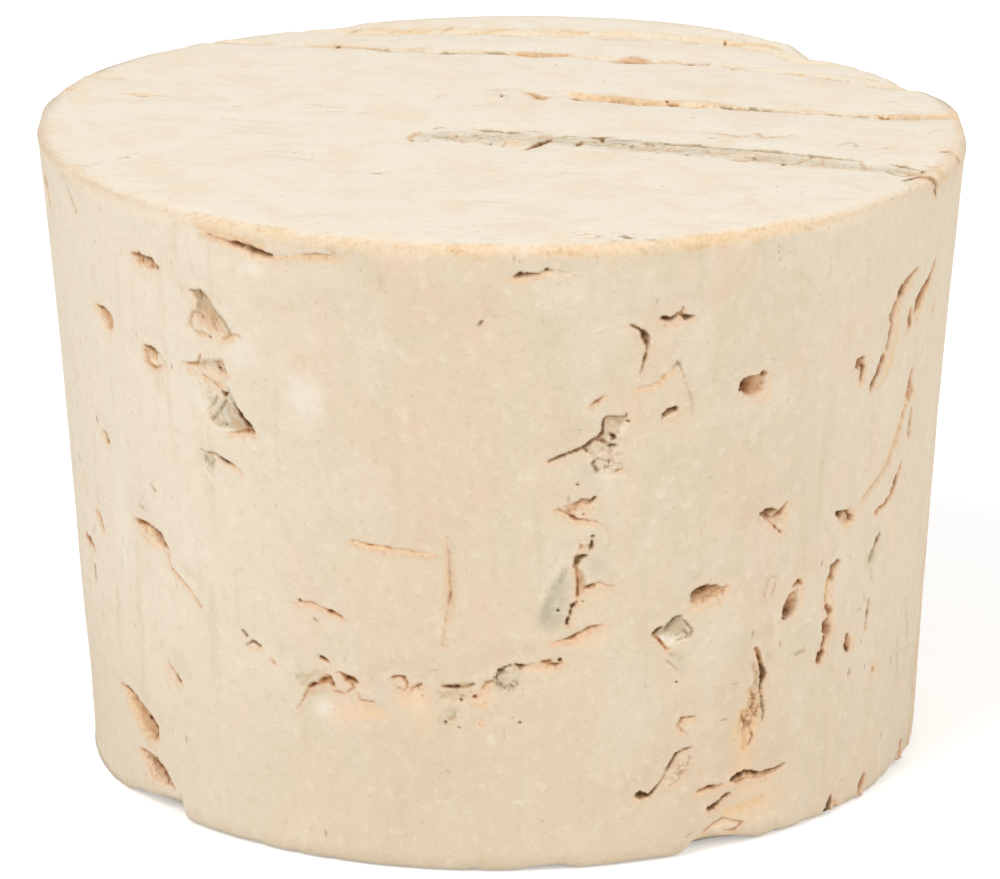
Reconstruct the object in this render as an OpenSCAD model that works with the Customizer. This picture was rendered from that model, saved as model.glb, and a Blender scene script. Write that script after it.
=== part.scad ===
// Tapered stopper cut from one piece of natural cork bark.
// It rests on its narrow end, with the front towards -Y and the wide end up.
// The bark's yearly layers stand almost upright, from side to side, so they show as
// lines across both ends and down the flanks, and the pores open on the side.

/* [Blank] */
// Diameter of the wide end
top_d = 55; // [40:0.5:80]
// Diameter of the narrow end
bottom_d = 50; // [35:0.5:75]
// Height in the middle of the wide end
height = 38; // [28:0.5:60]
// How far the side is hollowed half way up
side_hollow = 0.2; // [0.1:0.05:0.5]
// Slope of the wide end, in degrees, lower towards +X
top_slope = 1.1; // [0.4:0.1:2.5]
// Lean of the taper's axis towards +X, in degrees
axis_lean = 0.4; // [0.1:0.1:1]

/* [Worn edges] */
// Radius of the rim at the wide end
top_round = 0.8; // [0.5:0.1:1.4]
// Radius of the rim at the narrow end
bottom_round = 0.5; // [0.3:0.1:1]
// Direction of the worn corner of the wide end, in degrees from +X
worn_at = 30; // [20:1:40]
// Distance of the worn corner from the middle of the wide end
worn_from = 24.5; // [18:0.5:30]
// Slope of the worn corner, in degrees
worn_dip = 4; // [2:0.5:10]
// How far down the broken edges of the wide end run, in percent of the height
broken_run = 80; // [40:5:90]

/* [Growth lines] */
// Lean of the layers, in degrees: they come forward on the way down
layer_lean = 11.5; // [6:0.5:16]
// Width of an open growth line
line_w = 0.6; // [0.4:0.05:1]
// Depth of an open growth line
line_d = 0.4; // [0.25:0.05:0.7]
// Width of a closed growth line
hair_w = 0.3; // [0.2:0.05:0.5]
// Depth of a closed growth line
hair_d = 0.25; // [0.15:0.05:0.4]
// Depth of the crumbled band in front of the middle of the wide end
band_d = 0.5; // [0.3:0.05:0.9]
// Width of the crumbled band
band_w = 2.4; // [1.6:0.1:3.5]

/* [Pores and clefts] */
// Depth of a pore, as a share of its width
pore_depth = 0.8; // [0.5:0.05:1.1]
// Lean of a pore under its upper side, in degrees
pore_lean = 25; // [5:1:35]
// Slope of the floor of a cleft, in degrees
cleft_dip = 24; // [14:1:34]
// Depth of a crack
crack_d = 0.7; // [0.4:0.05:1.2]
// Depth of the chips in the bottom edge
chip_d = 1.2; // [0.6:0.1:2]

/* [Hidden] */

$fn = 96;
ball_fn = 48;
// Room that a cutter keeps beyond the surface that it opens
over = 3;
// How far a rim's arc stands clear of the faces beside it, as a share of its radius
rim_bite = 0.06;

top_r = top_d / 2;
bottom_r = bottom_d / 2;
taper = atan((top_r - bottom_r) / height);

// The axis passes through the middle of the wide end, right above the origin
function axis_x(h) = (h - height) * tan(axis_lean);
// Radius of the side at a height, on a shallow arc that is hollow half way up
function side_r(h) = bottom_r + (top_r - bottom_r) * h / height
    - 4 * side_hollow * (h / height) * (1 - h / height);
// Direction of a vector, at length 1
function unit(v) = v / norm(v);

// ---- where things go -------------------------------------------------------

// Local +Z leaves the side, +Y runs up it and +X runs round it; up is a percentage
module at_side(angle, up, turn = 0) {
    h = height * up / 100;
    translate([axis_x(h), 0, h]) rotate(angle) translate([0, -side_r(h), 0])
        rotate([90 + taper, 0, 0]) rotate(turn) children();
}

// Local +Z leaves the wide end; x and y are percentages of its radius
module at_top(x = 0, y = 0, turn = 0) {
    translate([0, 0, height]) rotate([0, top_slope, 0])
        translate([x * top_r / 100, y * top_r / 100, 0]) rotate(turn) children();
}

// ---- the tapered blank -----------------------------------------------------

// Half of the blank's section, grown by a margin; its side is one shallow arc
module half_section(margin) {
    sag = side_hollow;
    span = norm([top_r - bottom_r, height]);
    arc_r = (span * span / 4 + sag * sag) / (2 * sag);
    middle = [(top_r + bottom_r) / 2, height / 2];
    outward = [cos(taper), -sin(taper)];
    centre = middle + outward * (arc_r - sag + margin);
    reach = top_r + height;
    difference() {
        translate([0, -height]) square([reach, 3 * height]);
        translate(centre) circle(arc_r, $fn = 720);
        // beyond the arc's ends the blank runs on as a straight taper
        translate([reach / 2 + top_r + margin, -height]) square([reach, 3 * height]);
    }
}

module blank(inset = 0) {
    intersection() {
        translate([axis_x(0), 0, 0]) rotate([0, axis_lean, 0]) rotate_extrude()
            half_section(-inset);
        // between the two ends
        translate([-top_d, -top_d, inset > 0 ? -over : 0])
            cube([2 * top_d, 2 * top_d, 2 * height]);
        at_top() translate([-top_d, -top_d, -2 * height - inset])
            cube([2 * top_d, 2 * top_d, 2 * height]);
    }
}

// Ring that rounds a rim of radius r; the end faces local +Z
module rim_ring(r, round) {
    bite = round * rim_bite;
    rotate_extrude() difference() {
        translate([r - round + bite, -round + bite]) square(round + over);
        translate([r - round + bite / 2, -round + bite / 2]) circle(round, $fn = 48);
    }
}

// ---- cutters for what grew or broke in the bark ----------------------------

// Lens-shaped pore, open at Z = 0 with its points along X: two balls that cross in a
// sharp edge, which leans so that the hollow runs in under its upper side
module lens(length, width, depth) {
    edge_r = (length * length / 4 + depth * depth) / (2 * depth);
    apart = (length * length - width * width) / (4 * width);
    ball_r = norm([edge_r, apart]);
    rotate([pore_lean, 0, 0]) translate([0, 0, edge_r - depth]) intersection() {
        translate([0, -apart, 0]) sphere(ball_r, $fn = ball_fn);
        translate([0, apart, 0]) sphere(ball_r, $fn = ball_fn);
    }
}

// Hollow whose floor starts at y = 0 on the surface and falls towards +Y
module cleft(outline, dip = cleft_dip) {
    rotate([-dip, 0, 0]) linear_extrude(over) polygon(outline);
}

// Outline of a line of points [x, y, width]
function strip(points) =
    let (last = len(points) - 1,
         side = [for (i = [0 : last])
             let (a = points[max(i - 1, 0)], b = points[min(i + 1, last)],
                  along = unit([b[0] - a[0], b[1] - a[1]]))
             [-along[1], along[0]] * points[i][2] / 2])
    concat([for (i = [0 : last]) [points[i][0], points[i][1]] + side[i]],
           [for (i = [last : -1 : 0]) [points[i][0], points[i][1]] - side[i]]);

// Slit of even depth along a line of points [x, y, width]
module crack(points, depth = crack_d) {
    translate([0, 0, -depth]) linear_extrude(depth + over) polygon(strip(points));
}

// Opened growth line: a leaning sheet through the blank, kept to its skin
module growth_line(points, width, depth) {
    scaled = [for (p = points) [p[0] * top_r / 100, p[1] * top_r / 100, width]];
    difference() {
        translate([0, 0, height]) rotate([-layer_lean, 0, 0])
            translate([0, 0, -1.3 * height]) linear_extrude(1.6 * height)
                polygon(strip(scaled));
        blank(depth);
    }
}

// ---- the lists of what the bark shows --------------------------------------

// Pores on the side: angle, height in percent, turn, length, width
pores = [
    // front, left of the middle
    [-74, 96, 8, 2.6, 0.8], [-48.5, 91.5, -4, 2.4, 0.7], [-59, 79.5, -20, 2.4, 1.4],
    [-48.5, 76.5, -10, 1.9, 1.2], [-62, 59, 10, 1.5, 0.6], [-52, 46.5, -15, 3.4, 0.9],
    [-72.5, 38, 10, 2.2, 0.7], [-13, 30.5, 0, 1.8, 1], [-34, 33.5, 5, 1.2, 0.4],
    // right of the middle
    [20.5, 87.5, 0, 1.9, 0.6], [17, 85.5, 100, 1.6, 0.6], [3, 95.5, 5, 1.8, 0.5],
    [31.5, 74.5, 15, 2, 1.4], [20.5, 72.5, 35, 1.6, 0.6], [26.8, 42.5, 8, 2.8, 1.3],
    [40, 38.5, 50, 2.3, 1.2], [36, 53, -10, 2.4, 1.3], [49, 49.5, -5, 2.3, 1.1],
    [22.3, 37.5, -10, 2.6, 1.3], [50.5, 73, -20, 1.4, 0.9], [52, 27.5, -20, 1.5, 1],
    // along the growth lines of the right flank
    [58.5, 83, 20, 2.4, 0.8], [56.3, 79, 80, 1.4, 0.7], [54.3, 71.5, 65, 2.2, 0.8],
    [65.5, 81, 25, 3, 0.9], [63.5, 65.5, -20, 1.9, 0.8], [61, 51.5, 55, 1.8, 0.9],
    [56.5, 40.5, 62, 3, 0.7], [47.3, 42, 20, 1.4, 0.8], [46.6, 32.5, 80, 2.4, 1],
    [45.6, 27.5, 0, 1, 0.6], [59, 21, -20, 1.4, 0.6], [66.5, 18, -20, 1.6, 0.7],
    // at the bottom edge
    [50, 1.5, -20, 2, 1.1], [57, 2.5, 20, 1.8, 1.2], [71, 1, -10, 1.8, 0.9],
    // on the side away from the front
    [96, 62, 15, 2.2, 0.9], [104, 30, -60, 2, 0.8], [121, 84, 10, 2.6, 0.9],
    [133, 47, 40, 1.7, 1], [146, 22, 0, 2.4, 0.8], [158, 70, -12, 1.9, 1.1],
    [171, 39, 25, 1.6, 0.7], [186, 88, 0, 2.2, 0.6], [198, 56, -30, 2.1, 1],
    [212, 18, 12, 1.8, 0.8], [226, 76, 5, 1.6, 0.9], [239, 41, -8, 2.8, 0.8],
    [252, 64, 20, 1.5, 0.7], [263, 26, 0, 2, 0.9],
];

// Pores in the wide end: x and y in percent of the radius, turn, length, width
top_pores = [
    [4, 24, -15, 1.9, 0.8], [10, 20, -25, 1.5, 0.6], [-19, -13, 10, 1.8, 0.9],
    [9, -18, 35, 2, 0.7], [17, -18, 50, 1.2, 0.6], [22, -91, -10, 2.4, 0.6],
];

// Hollows with a sloping floor: angle, height in percent, turn, outline
clefts = [
    // rust-brown split above the bottom edge, and the one below it
    [-58, 11.5, -18, [[-2.8, 0.2], [-1.6, 1.4], [0.4, 1.3], [1.7, 1.2], [2.2, 0.3],
        [1.2, -0.4], [-1.4, -0.3]]],
    [-54, 3.5, -35, [[-2, 0], [-1.5, 1.1], [0.2, 1], [1.6, 1.1], [2.1, 0.2], [0, -0.6]]],
    // three-cornered hollow with a mottled floor, and the larger one under it
    [-38, 83.5, -25, [[-1.7, -0.3], [-1.5, 1.3], [-0.4, 1.6], [1.6, 1.2], [1.9, 0.2]]],
    [-38.5, 70, -32, [[-2.2, 0.2], [-1.8, 1.9], [0.4, 2.2], [1.6, 1.6], [3.2, 1.1],
        [2.2, -0.3], [0.3, -0.6]]],
    [-38.8, 61.5, -8, [[-1, 0], [-0.6, 0.7], [0.4, 0.8], [1.3, 0.4], [0.3, -0.2]]],
    // roof-shaped pair low on the front
    [-25, 27, 25, [[-1.8, 0], [-1.5, 0.6], [0.2, 0.7], [1.2, 0.9], [1.1, -0.2]]],
    [-20.5, 28.5, -20, [[-0.8, 0], [-0.6, 0.6], [0.7, 0.8], [0.8, -0.1]]],
    // crumbled run across the front
    [-6.5, 28, 4, [[-1, 0], [-0.8, 0.8], [0.6, 0.9], [1.5, 0.8], [1.2, -0.2]]],
    [0, 31, 18, [[-1.7, 0], [-1.2, 0.6], [0.2, 0.8], [1, 0.6], [0.8, -0.2]]],
    [5.5, 33, 0, [[-0.9, 0], [-0.6, 0.5], [0.5, 0.6], [1.1, 0.5], [0.8, -0.1]]],
    // three-cornered crumble at the end of a slanted crack
    [12, 66, 20, [[-1.2, -0.2], [-1, 1.4], [0.4, 2.2], [1.3, 1.8], [1.4, 0.1]]],
    [8.8, 57.5, 0, [[-0.8, 0], [-0.4, 1], [0.4, 0.9], [1, 1.2], [0.9, 0.1]]],
    // low on the right
    [34.5, 18, 10, [[-1.2, 0], [-0.8, 1], [0.3, 1.1], [0.8, 0.5], [0.7, -0.3]]],
    [23, 14.5, 30, [[-1.2, 0], [-1, 0.6], [0.3, 0.8], [1.3, 0.6], [1, -0.2]]],
    [31.5, 2.5, -12, [[-1.6, 0], [-1.1, 0.6], [0.6, 0.7], [1.8, 0.3], [1.6, -0.3]]],
];

// Cracks: angle, height in percent, then points of x, y and width
cracks = [
    [-32, 97, [[-2.4, 0.2, 0.1], [-0.6, 0.1, 0.25], [0.7, -0.1, 0.5], [1.8, -0.3, 0.3]]],
    [-14, 52, [[-2.2, 0.1, 0.1], [-0.4, 0, 0.25], [0.4, -0.1, 0.25], [2.4, -0.2, 0.1]]],
    [-24, 41, [[-1.3, 0.2, 0.3], [-0.4, 0.3, 0.15], [0.6, 0, 0.3], [1.4, -0.3, 0.2]]],
    [-7, 46, [[0.1, 3, 0.2], [0.2, 0.9, 0.35], [0, -0.6, 0.2], [-0.2, -2.4, 0.1]]],
    [8, 68, [[-1.2, -0.6, 0.15], [0, -0.1, 0.35], [1.1, 0.4, 0.4], [1.9, 0.9, 0.25],
        [2.1, 1.9, 0.15]]],
    [9, 47, [[0.8, 2.6, 0.3], [0.1, 1.5, 0.8], [0.3, 0, 0.5], [0, -1.2, 0.4],
        [-0.5, -2.6, 0.2]]],
    [9.5, 38.5, [[-1.5, -0.3, 0.1], [0, 0, 0.25], [1.4, 0.4, 0.1]]],
    [21, 78, [[-2, -0.6, 0.1], [-0.8, -0.2, 0.2], [0, 0.6, 0.25], [0.5, 0.2, 0.15]]],
    [22, 13, [[-1.9, -0.6, 0.3], [-1.2, -0.8, 0.3], [-0.6, -0.1, 0.15], [0.2, 1, 0.2],
        [0.8, 1.5, 0.25], [1.6, 1.6, 0.1]]],
    [35.3, 26.5, [[-0.2, 2, 0.3], [0, 1, 0.3], [0.1, 0.3, 0.7], [0, -0.8, 0.3],
        [0.2, -2, 0.4]]],
    [34.5, 12, [[-1.4, -0.2, 0.35], [-0.3, 0.1, 0.5], [0.8, -0.2, 0.3], [1.9, -0.5, 0.1]]],
    [29.5, 8, [[-0.8, -0.3, 0.35], [0, 0, 0.4], [0.9, 0.4, 0.15]]],
    [-45.5, 40.5, [[-1.4, 0.6, 0.1], [0, 0.1, 0.2], [1.3, -0.8, 0.1]]],
];

// Chips out of the bottom edge: angle, then an outline of x and y from the edge
chips = [
    [-55, [[-7, -1], [-6.5, 0.15], [-1, 0.35], [2, 0.75], [2.4, 0.4], [3.6, -1]]],
    [29, [[-2, -1], [-1.5, 0.4], [0.5, 0.45], [2.6, 0.2], [3.4, -1]]],
    [2, [[-0.5, -1], [0.6, 0.1], [3.6, 0.3], [4.2, -1]]],
    [150, [[-3, -1], [-2, 0.4], [1, 0.3], [2.5, -1]]],
    [228, [[-2.4, -1], [-1, 0.5], [2, 0.35], [3.4, -1]]],
];

// Where layers broke off the edge of the wide end, in plan: angle from the front, then how
// far in from the edge, in percent of the radius
broken_edges = [
    // two steps behind the right flank
    [[107.5, -2], [109.7, 2], [111, 3.6], [113, 3.8], [115.5, 2.5], [120, 2.7], [122.4, 3.4],
        [124.6, 2.6], [126, 4], [128, 5.4], [130.5, 6.8], [132.2, 6], [134.7, 4.2],
        [136.8, 2.2], [139, 1.4], [146, -2]],
    // the shallow one at the back, on the left
    [[-163, -2], [-160.5, 0.6], [-159, 1.8], [-157, 2.9], [-155, 2.7], [-153.5, 1.5],
        [-149, 0.5], [-141, 1.2], [-138, 1], [-133, -2]],
];

// Growth lines in plan, in percent of the wide end's radius
open_lines = [
    // behind the middle, out through the right flank
    [[16, 25], [29, 20], [44, 16], [58, 13], [73, 10], [86, 8], [120, 9]],
    // towards the back
    [[-120, 88], [-61, 72], [-42, 69], [-25, 65], [-11, 63], [11, 62], [29, 57],
        [44, 54], [69, 45], [87, 37], [120, 24]],
];
closed_lines = [
    [[-120, 40], [-92, 37], [-73, 33], [-44, 27], [-22, 21]],
    [[-70, 103], [-36, 89], [-15, 82], [15, 79], [40, 74], [68, 62], [120, 40]],
    [[84, -41], [98, -52], [120, -66]],
];

// ---- the piece -------------------------------------------------------------

module growth_lines() {
    for (line = open_lines) growth_line(line, line_w, line_d);
    for (line = closed_lines) growth_line(line, hair_w, hair_d);
    // crumbled band in front of the middle, its floor falling towards the back
    fall = asin(band_d / band_w);
    at_top(-20, -18, -10) cleft([[0, 0], [0.3, 2], [6, band_w], [14, band_w - 0.2],
        [22, band_w], [31, band_w - 0.3], [33, 0.8], [24, -0.4], [10, -0.3]], fall);
}

module worn_corner() {
    at_top(0, 0, worn_at) translate([worn_from, 0, 0]) rotate([0, worn_dip, 0])
        translate([0, -top_r, 0]) cube([top_r, top_d, over]);
}

// Sector outside a broken edge; its walls are upright, so the taper brings it to an end
module broken_edge(edge) {
    inner = [for (p = edge) (1 - p[1] / 100) * top_r * [sin(p[0]), -cos(p[0])]];
    outer = [for (i = [len(edge) - 1 : -1 : 0]) 1.2 * top_r * [sin(edge[i][0]), -cos(edge[i][0])]];
    translate([0, 0, height * (1 - broken_run / 100)]) linear_extrude(height)
        polygon(concat(inner, outer));
}

module bark_features() {
    for (p = pores) at_side(p[0], p[1], p[2]) lens(p[3], p[4], p[4] * pore_depth);
    for (p = top_pores) at_top(p[0], p[1], p[2]) lens(p[3], p[4], p[4] * pore_depth);
    for (c = clefts) at_side(c[0], c[1], c[2]) cleft(c[3]);
    for (c = cracks) at_side(c[0], c[1]) crack(c[2]);
    for (c = chips) at_side(c[0], 0) translate([0, 0, -chip_d])
        linear_extrude(chip_d + over) polygon(c[1]);
}

module stopper() {
    color("wheat") difference() {
        blank();
        at_top() rim_ring(top_r, top_round);
        translate([axis_x(0), 0, 0]) mirror([0, 0, 1]) rim_ring(bottom_r, bottom_round);
        worn_corner();
        for (edge = broken_edges) broken_edge(edge);
        growth_lines();
        bark_features();
    }
}

stopper();
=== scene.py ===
"""Cork stopper: the bark's finish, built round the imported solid.

The piece is one closed skin over the tapered blank. Its places are given by the angle round the
part, 0 at the front and growing to the right, and by the way down the blank's outline, from the
middle of the wide end over the rim and down the side to the middle of the narrow end.
Lengths are in millimetres here and in metres in the finished mesh.
"""

import logging
import math
from dataclasses import dataclass, field, replace
from enum import Enum

import bpy
import numpy as np
from mathutils import Matrix, Vector

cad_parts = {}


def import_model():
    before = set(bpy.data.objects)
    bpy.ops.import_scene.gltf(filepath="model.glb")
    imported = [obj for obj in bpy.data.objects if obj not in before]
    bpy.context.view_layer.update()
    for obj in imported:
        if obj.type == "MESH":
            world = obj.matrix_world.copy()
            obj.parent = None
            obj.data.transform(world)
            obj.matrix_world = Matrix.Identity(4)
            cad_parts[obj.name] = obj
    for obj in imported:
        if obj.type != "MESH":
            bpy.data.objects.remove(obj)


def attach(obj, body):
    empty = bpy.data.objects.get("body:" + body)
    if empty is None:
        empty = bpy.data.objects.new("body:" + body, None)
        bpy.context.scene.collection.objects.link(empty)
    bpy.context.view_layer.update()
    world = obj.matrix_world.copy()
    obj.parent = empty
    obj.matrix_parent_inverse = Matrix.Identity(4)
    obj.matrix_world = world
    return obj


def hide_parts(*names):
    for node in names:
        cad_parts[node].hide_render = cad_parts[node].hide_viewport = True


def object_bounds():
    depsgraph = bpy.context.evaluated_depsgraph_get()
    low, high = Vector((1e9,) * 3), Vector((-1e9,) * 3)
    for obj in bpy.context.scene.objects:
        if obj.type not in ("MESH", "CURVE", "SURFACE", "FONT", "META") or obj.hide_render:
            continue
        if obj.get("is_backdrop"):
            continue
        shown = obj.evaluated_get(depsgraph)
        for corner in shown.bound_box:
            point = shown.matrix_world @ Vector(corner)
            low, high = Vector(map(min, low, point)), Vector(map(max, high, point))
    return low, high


LOG = logging.getLogger("stopper")
METRES = 0.001

# Rounded size of the taper, in millimetres, for offsets between near places on the side.
NARROW_RADIUS = 25.0
FLARE = 2.5
SIDE_HEIGHT = 38.0
# Offset given to points that aren't on the wide end, so that no mark there reaches them.
FAR_OFF = 500


# ---- small helpers -----------------------------------------------------------


def tone(red: float, green: float, blue: float) -> tuple[float, float, float]:
    """Colour written as 0 to 255 display values, returned as linear values.

    Args: red, green, blue: display values.
    Returns: linear red, green and blue, by c/12.92 or ((c+0.055)/1.055)^2.4.
    """
    shares = (red / 255, green / 255, blue / 255)
    return tuple(c / 12.92 if c <= 0.04045 else ((c + 0.055) / 1.055) ** 2.4 for c in shares)


def ease(t: np.ndarray) -> np.ndarray:
    """Smooth step 3t^2 - 2t^3 of t held between 0 and 1."""
    t = np.clip(t, 0.0, 1.0)
    return t * t * (3 - 2 * t)


def scramble(i: np.ndarray, j: np.ndarray, k: np.ndarray, seed: int) -> np.ndarray:
    """Even spread of numbers from 0 to 1, fixed by three whole numbers and a seed.

    Each whole number is multiplied by its own odd constant, the products are joined bit by bit,
    and the result is folded and multiplied twice more.

    Args:
        i: whole numbers.
        j: whole numbers.
        k: whole numbers.
        seed: number that sets the pattern.
    Returns: numbers from 0 to 1.
    """
    word = np.uint32
    with np.errstate(over="ignore"):
        mixed = i.astype(word) * word(0x8DA6B343)
        mixed ^= j.astype(word) * word(0xD8163841)
        mixed ^= k.astype(word) * word(0xCB1AB31F)
        mixed ^= word(seed * 2654435761 % 2**32)
        mixed = (mixed ^ (mixed >> word(15))) * word(0x2C1B3C6D)
        mixed = (mixed ^ (mixed >> word(12))) * word(0x297A2D39)
        mixed ^= mixed >> word(15)
    return mixed.astype(float) / 2**32


def grain(points: np.ndarray, size: float, seed: int, layers: int = 2) -> np.ndarray:
    """Smooth noise from -1 to 1 at points in space.

    Random values on a cubic lattice are blended along each axis by 3t^2 - 2t^3. Each further
    layer has half the cell size and half the height, and the sum is divided by its reach.

    Args:
        points: the points.
        size: cell size of the first layer.
        seed: number that sets the pattern.
        layers: how many layers are added up.
    Returns: smooth values about 0.
    """
    total = np.zeros(len(points))
    reach = 0.0
    for layer in range(layers):
        share = 0.5**layer
        places = points / (size * share)
        base = np.floor(places).astype(np.int64)
        part = places - base
        part = part * part * (3 - 2 * part)
        for corner in range(8):
            bits = np.array([corner & 1, corner >> 1 & 1, corner >> 2 & 1])
            weight = np.prod(np.where(bits, part, 1 - part), axis=1)
            at = base + bits
            total += share * weight * (2 * scramble(at[:, 0], at[:, 1], at[:, 2], seed + layer) - 1)
        reach += share
    return total / reach


def crumble(points: np.ndarray, size: float, seed: int) -> tuple[np.ndarray, np.ndarray]:
    """Crumbs: one per lattice cell, at a random place in it.

    Returns: how close each point lies to the border between its crumb and the next, from 0 at
    the border to about 1 inside, and a number from 0 to 1 that each crumb has for itself.

    Args:
        points: the points.
        size: usual size of a crumb.
        seed: number that sets the pattern.
    """
    places = points / size
    base = np.floor(places).astype(np.int64)
    first = np.full(len(points), 9.0)
    second = np.full(len(points), 9.0)
    own = np.zeros(len(points))
    for step in np.ndindex(3, 3, 3):
        at = base + np.array(step) - 1
        spot = np.stack([scramble(at[:, 0], at[:, 1], at[:, 2], seed + n) for n in range(3)], 1)
        far = np.linalg.norm(at + spot - places, axis=1)
        nearer = far < first
        second = np.where(nearer, first, np.minimum(second, far))
        own = np.where(nearer, scramble(at[:, 0], at[:, 1], at[:, 2], seed + 7), own)
        first = np.minimum(first, far)
    return np.clip((second - first) * 1.6, 0, 1), own


# ---- the blank and the points of its skin ------------------------------------


@dataclass(frozen=True)
class Blank:
    """The tapered blank that the stopper is turned to, in millimetres and degrees."""

    top_r: float = 27.5
    bottom_r: float = 25.0
    height: float = 38.0
    hollow: float = 0.2
    slope: float = 1.1
    lean: float = 0.4
    top_round: float = 0.75
    bottom_round: float = 0.5
    layer_lean: float = 11.5
    eye: float = 0.45

    def outline(self) -> dict[str, np.ndarray]:
        """Half section from the middle of the wide end to the middle of the narrow end.

        Straight runs across both ends, quarter arcs round both rims, and between them the side:
        a straight taper less a parabola of the given hollow.
        Returns: radius, height, the outward normal's two parts, and the way along the outline.
        """
        top_flat = self.top_r - self.top_round
        bottom_flat = self.bottom_r - self.bottom_round
        turn = np.linspace(0, math.pi / 2, 60)
        share = np.linspace(1, 0, 1200)[1:-1]
        span = self.height - self.top_round - self.bottom_round
        side_z = self.bottom_round + span * share
        run = side_z / self.height
        side_r = self.bottom_r + (self.top_r - self.bottom_r) * run
        side_r = side_r - 4 * self.hollow * run * (1 - run)
        top_edge = self.bottom_r + (self.top_r - self.bottom_r) * (1 - self.top_round / self.height)
        arc_r = top_flat + (top_edge - top_flat) * np.sin(turn)
        arc_z = self.height - self.top_round * (1 - np.cos(turn))
        low_r = bottom_flat + self.bottom_round * np.cos(turn)
        low_z = self.bottom_round * (1 - np.sin(turn))
        inward = np.geomspace(self.eye, top_flat, 1500)[:-1]
        outward = np.geomspace(bottom_flat, self.eye, 1500)[1:]
        radius = np.concatenate([inward, arc_r, side_r, low_r, outward])
        level = np.concatenate(
            [np.full_like(inward, self.height), arc_z, side_z, low_z, np.zeros_like(outward)]
        )
        along = np.concatenate([[0], np.cumsum(np.hypot(np.diff(radius), np.diff(level)))])
        normal_r = -np.gradient(level, along, edge_order=1)
        normal_z = np.gradient(radius, along, edge_order=1)
        return dict(radius=radius, level=level, nr=normal_r, nz=normal_z, along=along)


class Spots:
    """Points of the blank's skin, with all that the bark's features ask about them."""

    def __init__(self, blank: Blank, chart: "Chart", turn: np.ndarray, down: np.ndarray) -> None:
        """Works out each point's place.

        Args: blank: the sizes; chart: the way from a row to the outline; turn: angles in radians;
        down: rows, counted from the middle of the wide end.
        """
        along = chart.along(down)
        shape = chart.shape
        self.turn = turn
        self.r = np.interp(along, shape["along"], shape["radius"])
        level = np.interp(along, shape["along"], shape["level"])
        nr = np.interp(along, shape["along"], shape["nr"])
        nz = np.interp(along, shape["along"], shape["nz"])
        length = np.hypot(nr, nz)
        nr, nz = nr / length, nz / length
        sin, cos = np.sin(turn), np.cos(turn)
        x = self.r * sin
        self.z = level * (1 - math.tan(math.radians(blank.slope)) * x / blank.height)
        self.x = x + (self.z - blank.height) * math.tan(math.radians(blank.lean))
        self.y = -self.r * cos
        self.normal = np.stack([nr * sin, -nr * cos, nz], 1)
        self.right = np.stack([cos, sin, np.zeros_like(sin)], 1)
        rise = (blank.top_r - blank.bottom_r) / blank.height
        self.upward = np.stack([rise * sin, -rise * cos, np.ones_like(sin)], 1)
        onto_top = np.clip(blank.top_r - blank.top_round - self.r, 0, None) * (nz > 0.5)
        onto_low = np.clip(blank.bottom_r - blank.bottom_round - self.r, 0, None) * (nz < -0.5)
        self.up = self.z + onto_top - onto_low
        self.top = ease((nz - 0.35) / 0.5)
        self.low = ease((-nz - 0.35) / 0.5)
        self.side = 1 - self.top - self.low
        self.layer = self.y + math.tan(math.radians(blank.layer_lean)) * (blank.height - self.z)
        self.past = along - (blank.top_r - blank.top_round - blank.eye)
        self.place = np.stack([self.x, self.y, self.z], 1)


class Chart:
    """Even-angled chart of the blank: one step down a row is as long as one step round it."""

    def __init__(self, blank: Blank, around: int, levels: int) -> None:
        """Fits a whole number of coarse rows to the outline.

        The rows are counted by the sum of step length over radius, so every cell is square. The
        eye left open at each end is set so that the rows come out whole.
        Args: blank: the sizes; around: coarse cells round the part; levels: halvings of a cell.
        """
        self.blank = blank
        self.around = around
        self.levels = levels
        self.fine = around * 2**levels
        self.step = 2 * math.pi / self.fine
        coarse = self.step * 2**levels
        count = self._measure(blank)[-1] / coarse
        self.rows = round(count)
        eye = blank.eye * math.exp((count - self.rows) * coarse / 2)
        self.blank = replace(blank, eye=eye)
        self.count = self._measure(self.blank)
        self.count *= self.rows * 2**levels * self.step / self.count[-1]

    def _measure(self, blank: Blank) -> np.ndarray:
        """Running sum of step length over radius down the outline.

        Args:
            blank: the tapered blank.
        Returns: that sum at each step.
        """
        self.shape = blank.outline()
        steps = np.diff(self.shape["along"])
        middle = (self.shape["radius"][1:] + self.shape["radius"][:-1]) / 2
        return np.concatenate([[0], np.cumsum(steps / middle)])

    def along(self, down: np.ndarray) -> np.ndarray:
        """Way along the outline at a row number."""
        return np.interp(down * self.step, self.count, self.shape["along"])

    def spots(self, across: np.ndarray, down: np.ndarray) -> Spots:
        """Points at fine lattice columns and rows; column 0 is at the back."""
        return Spots(self.blank, self, across * self.step - math.pi, down)


# ---- where a feature sits ------------------------------------------------------


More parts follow.
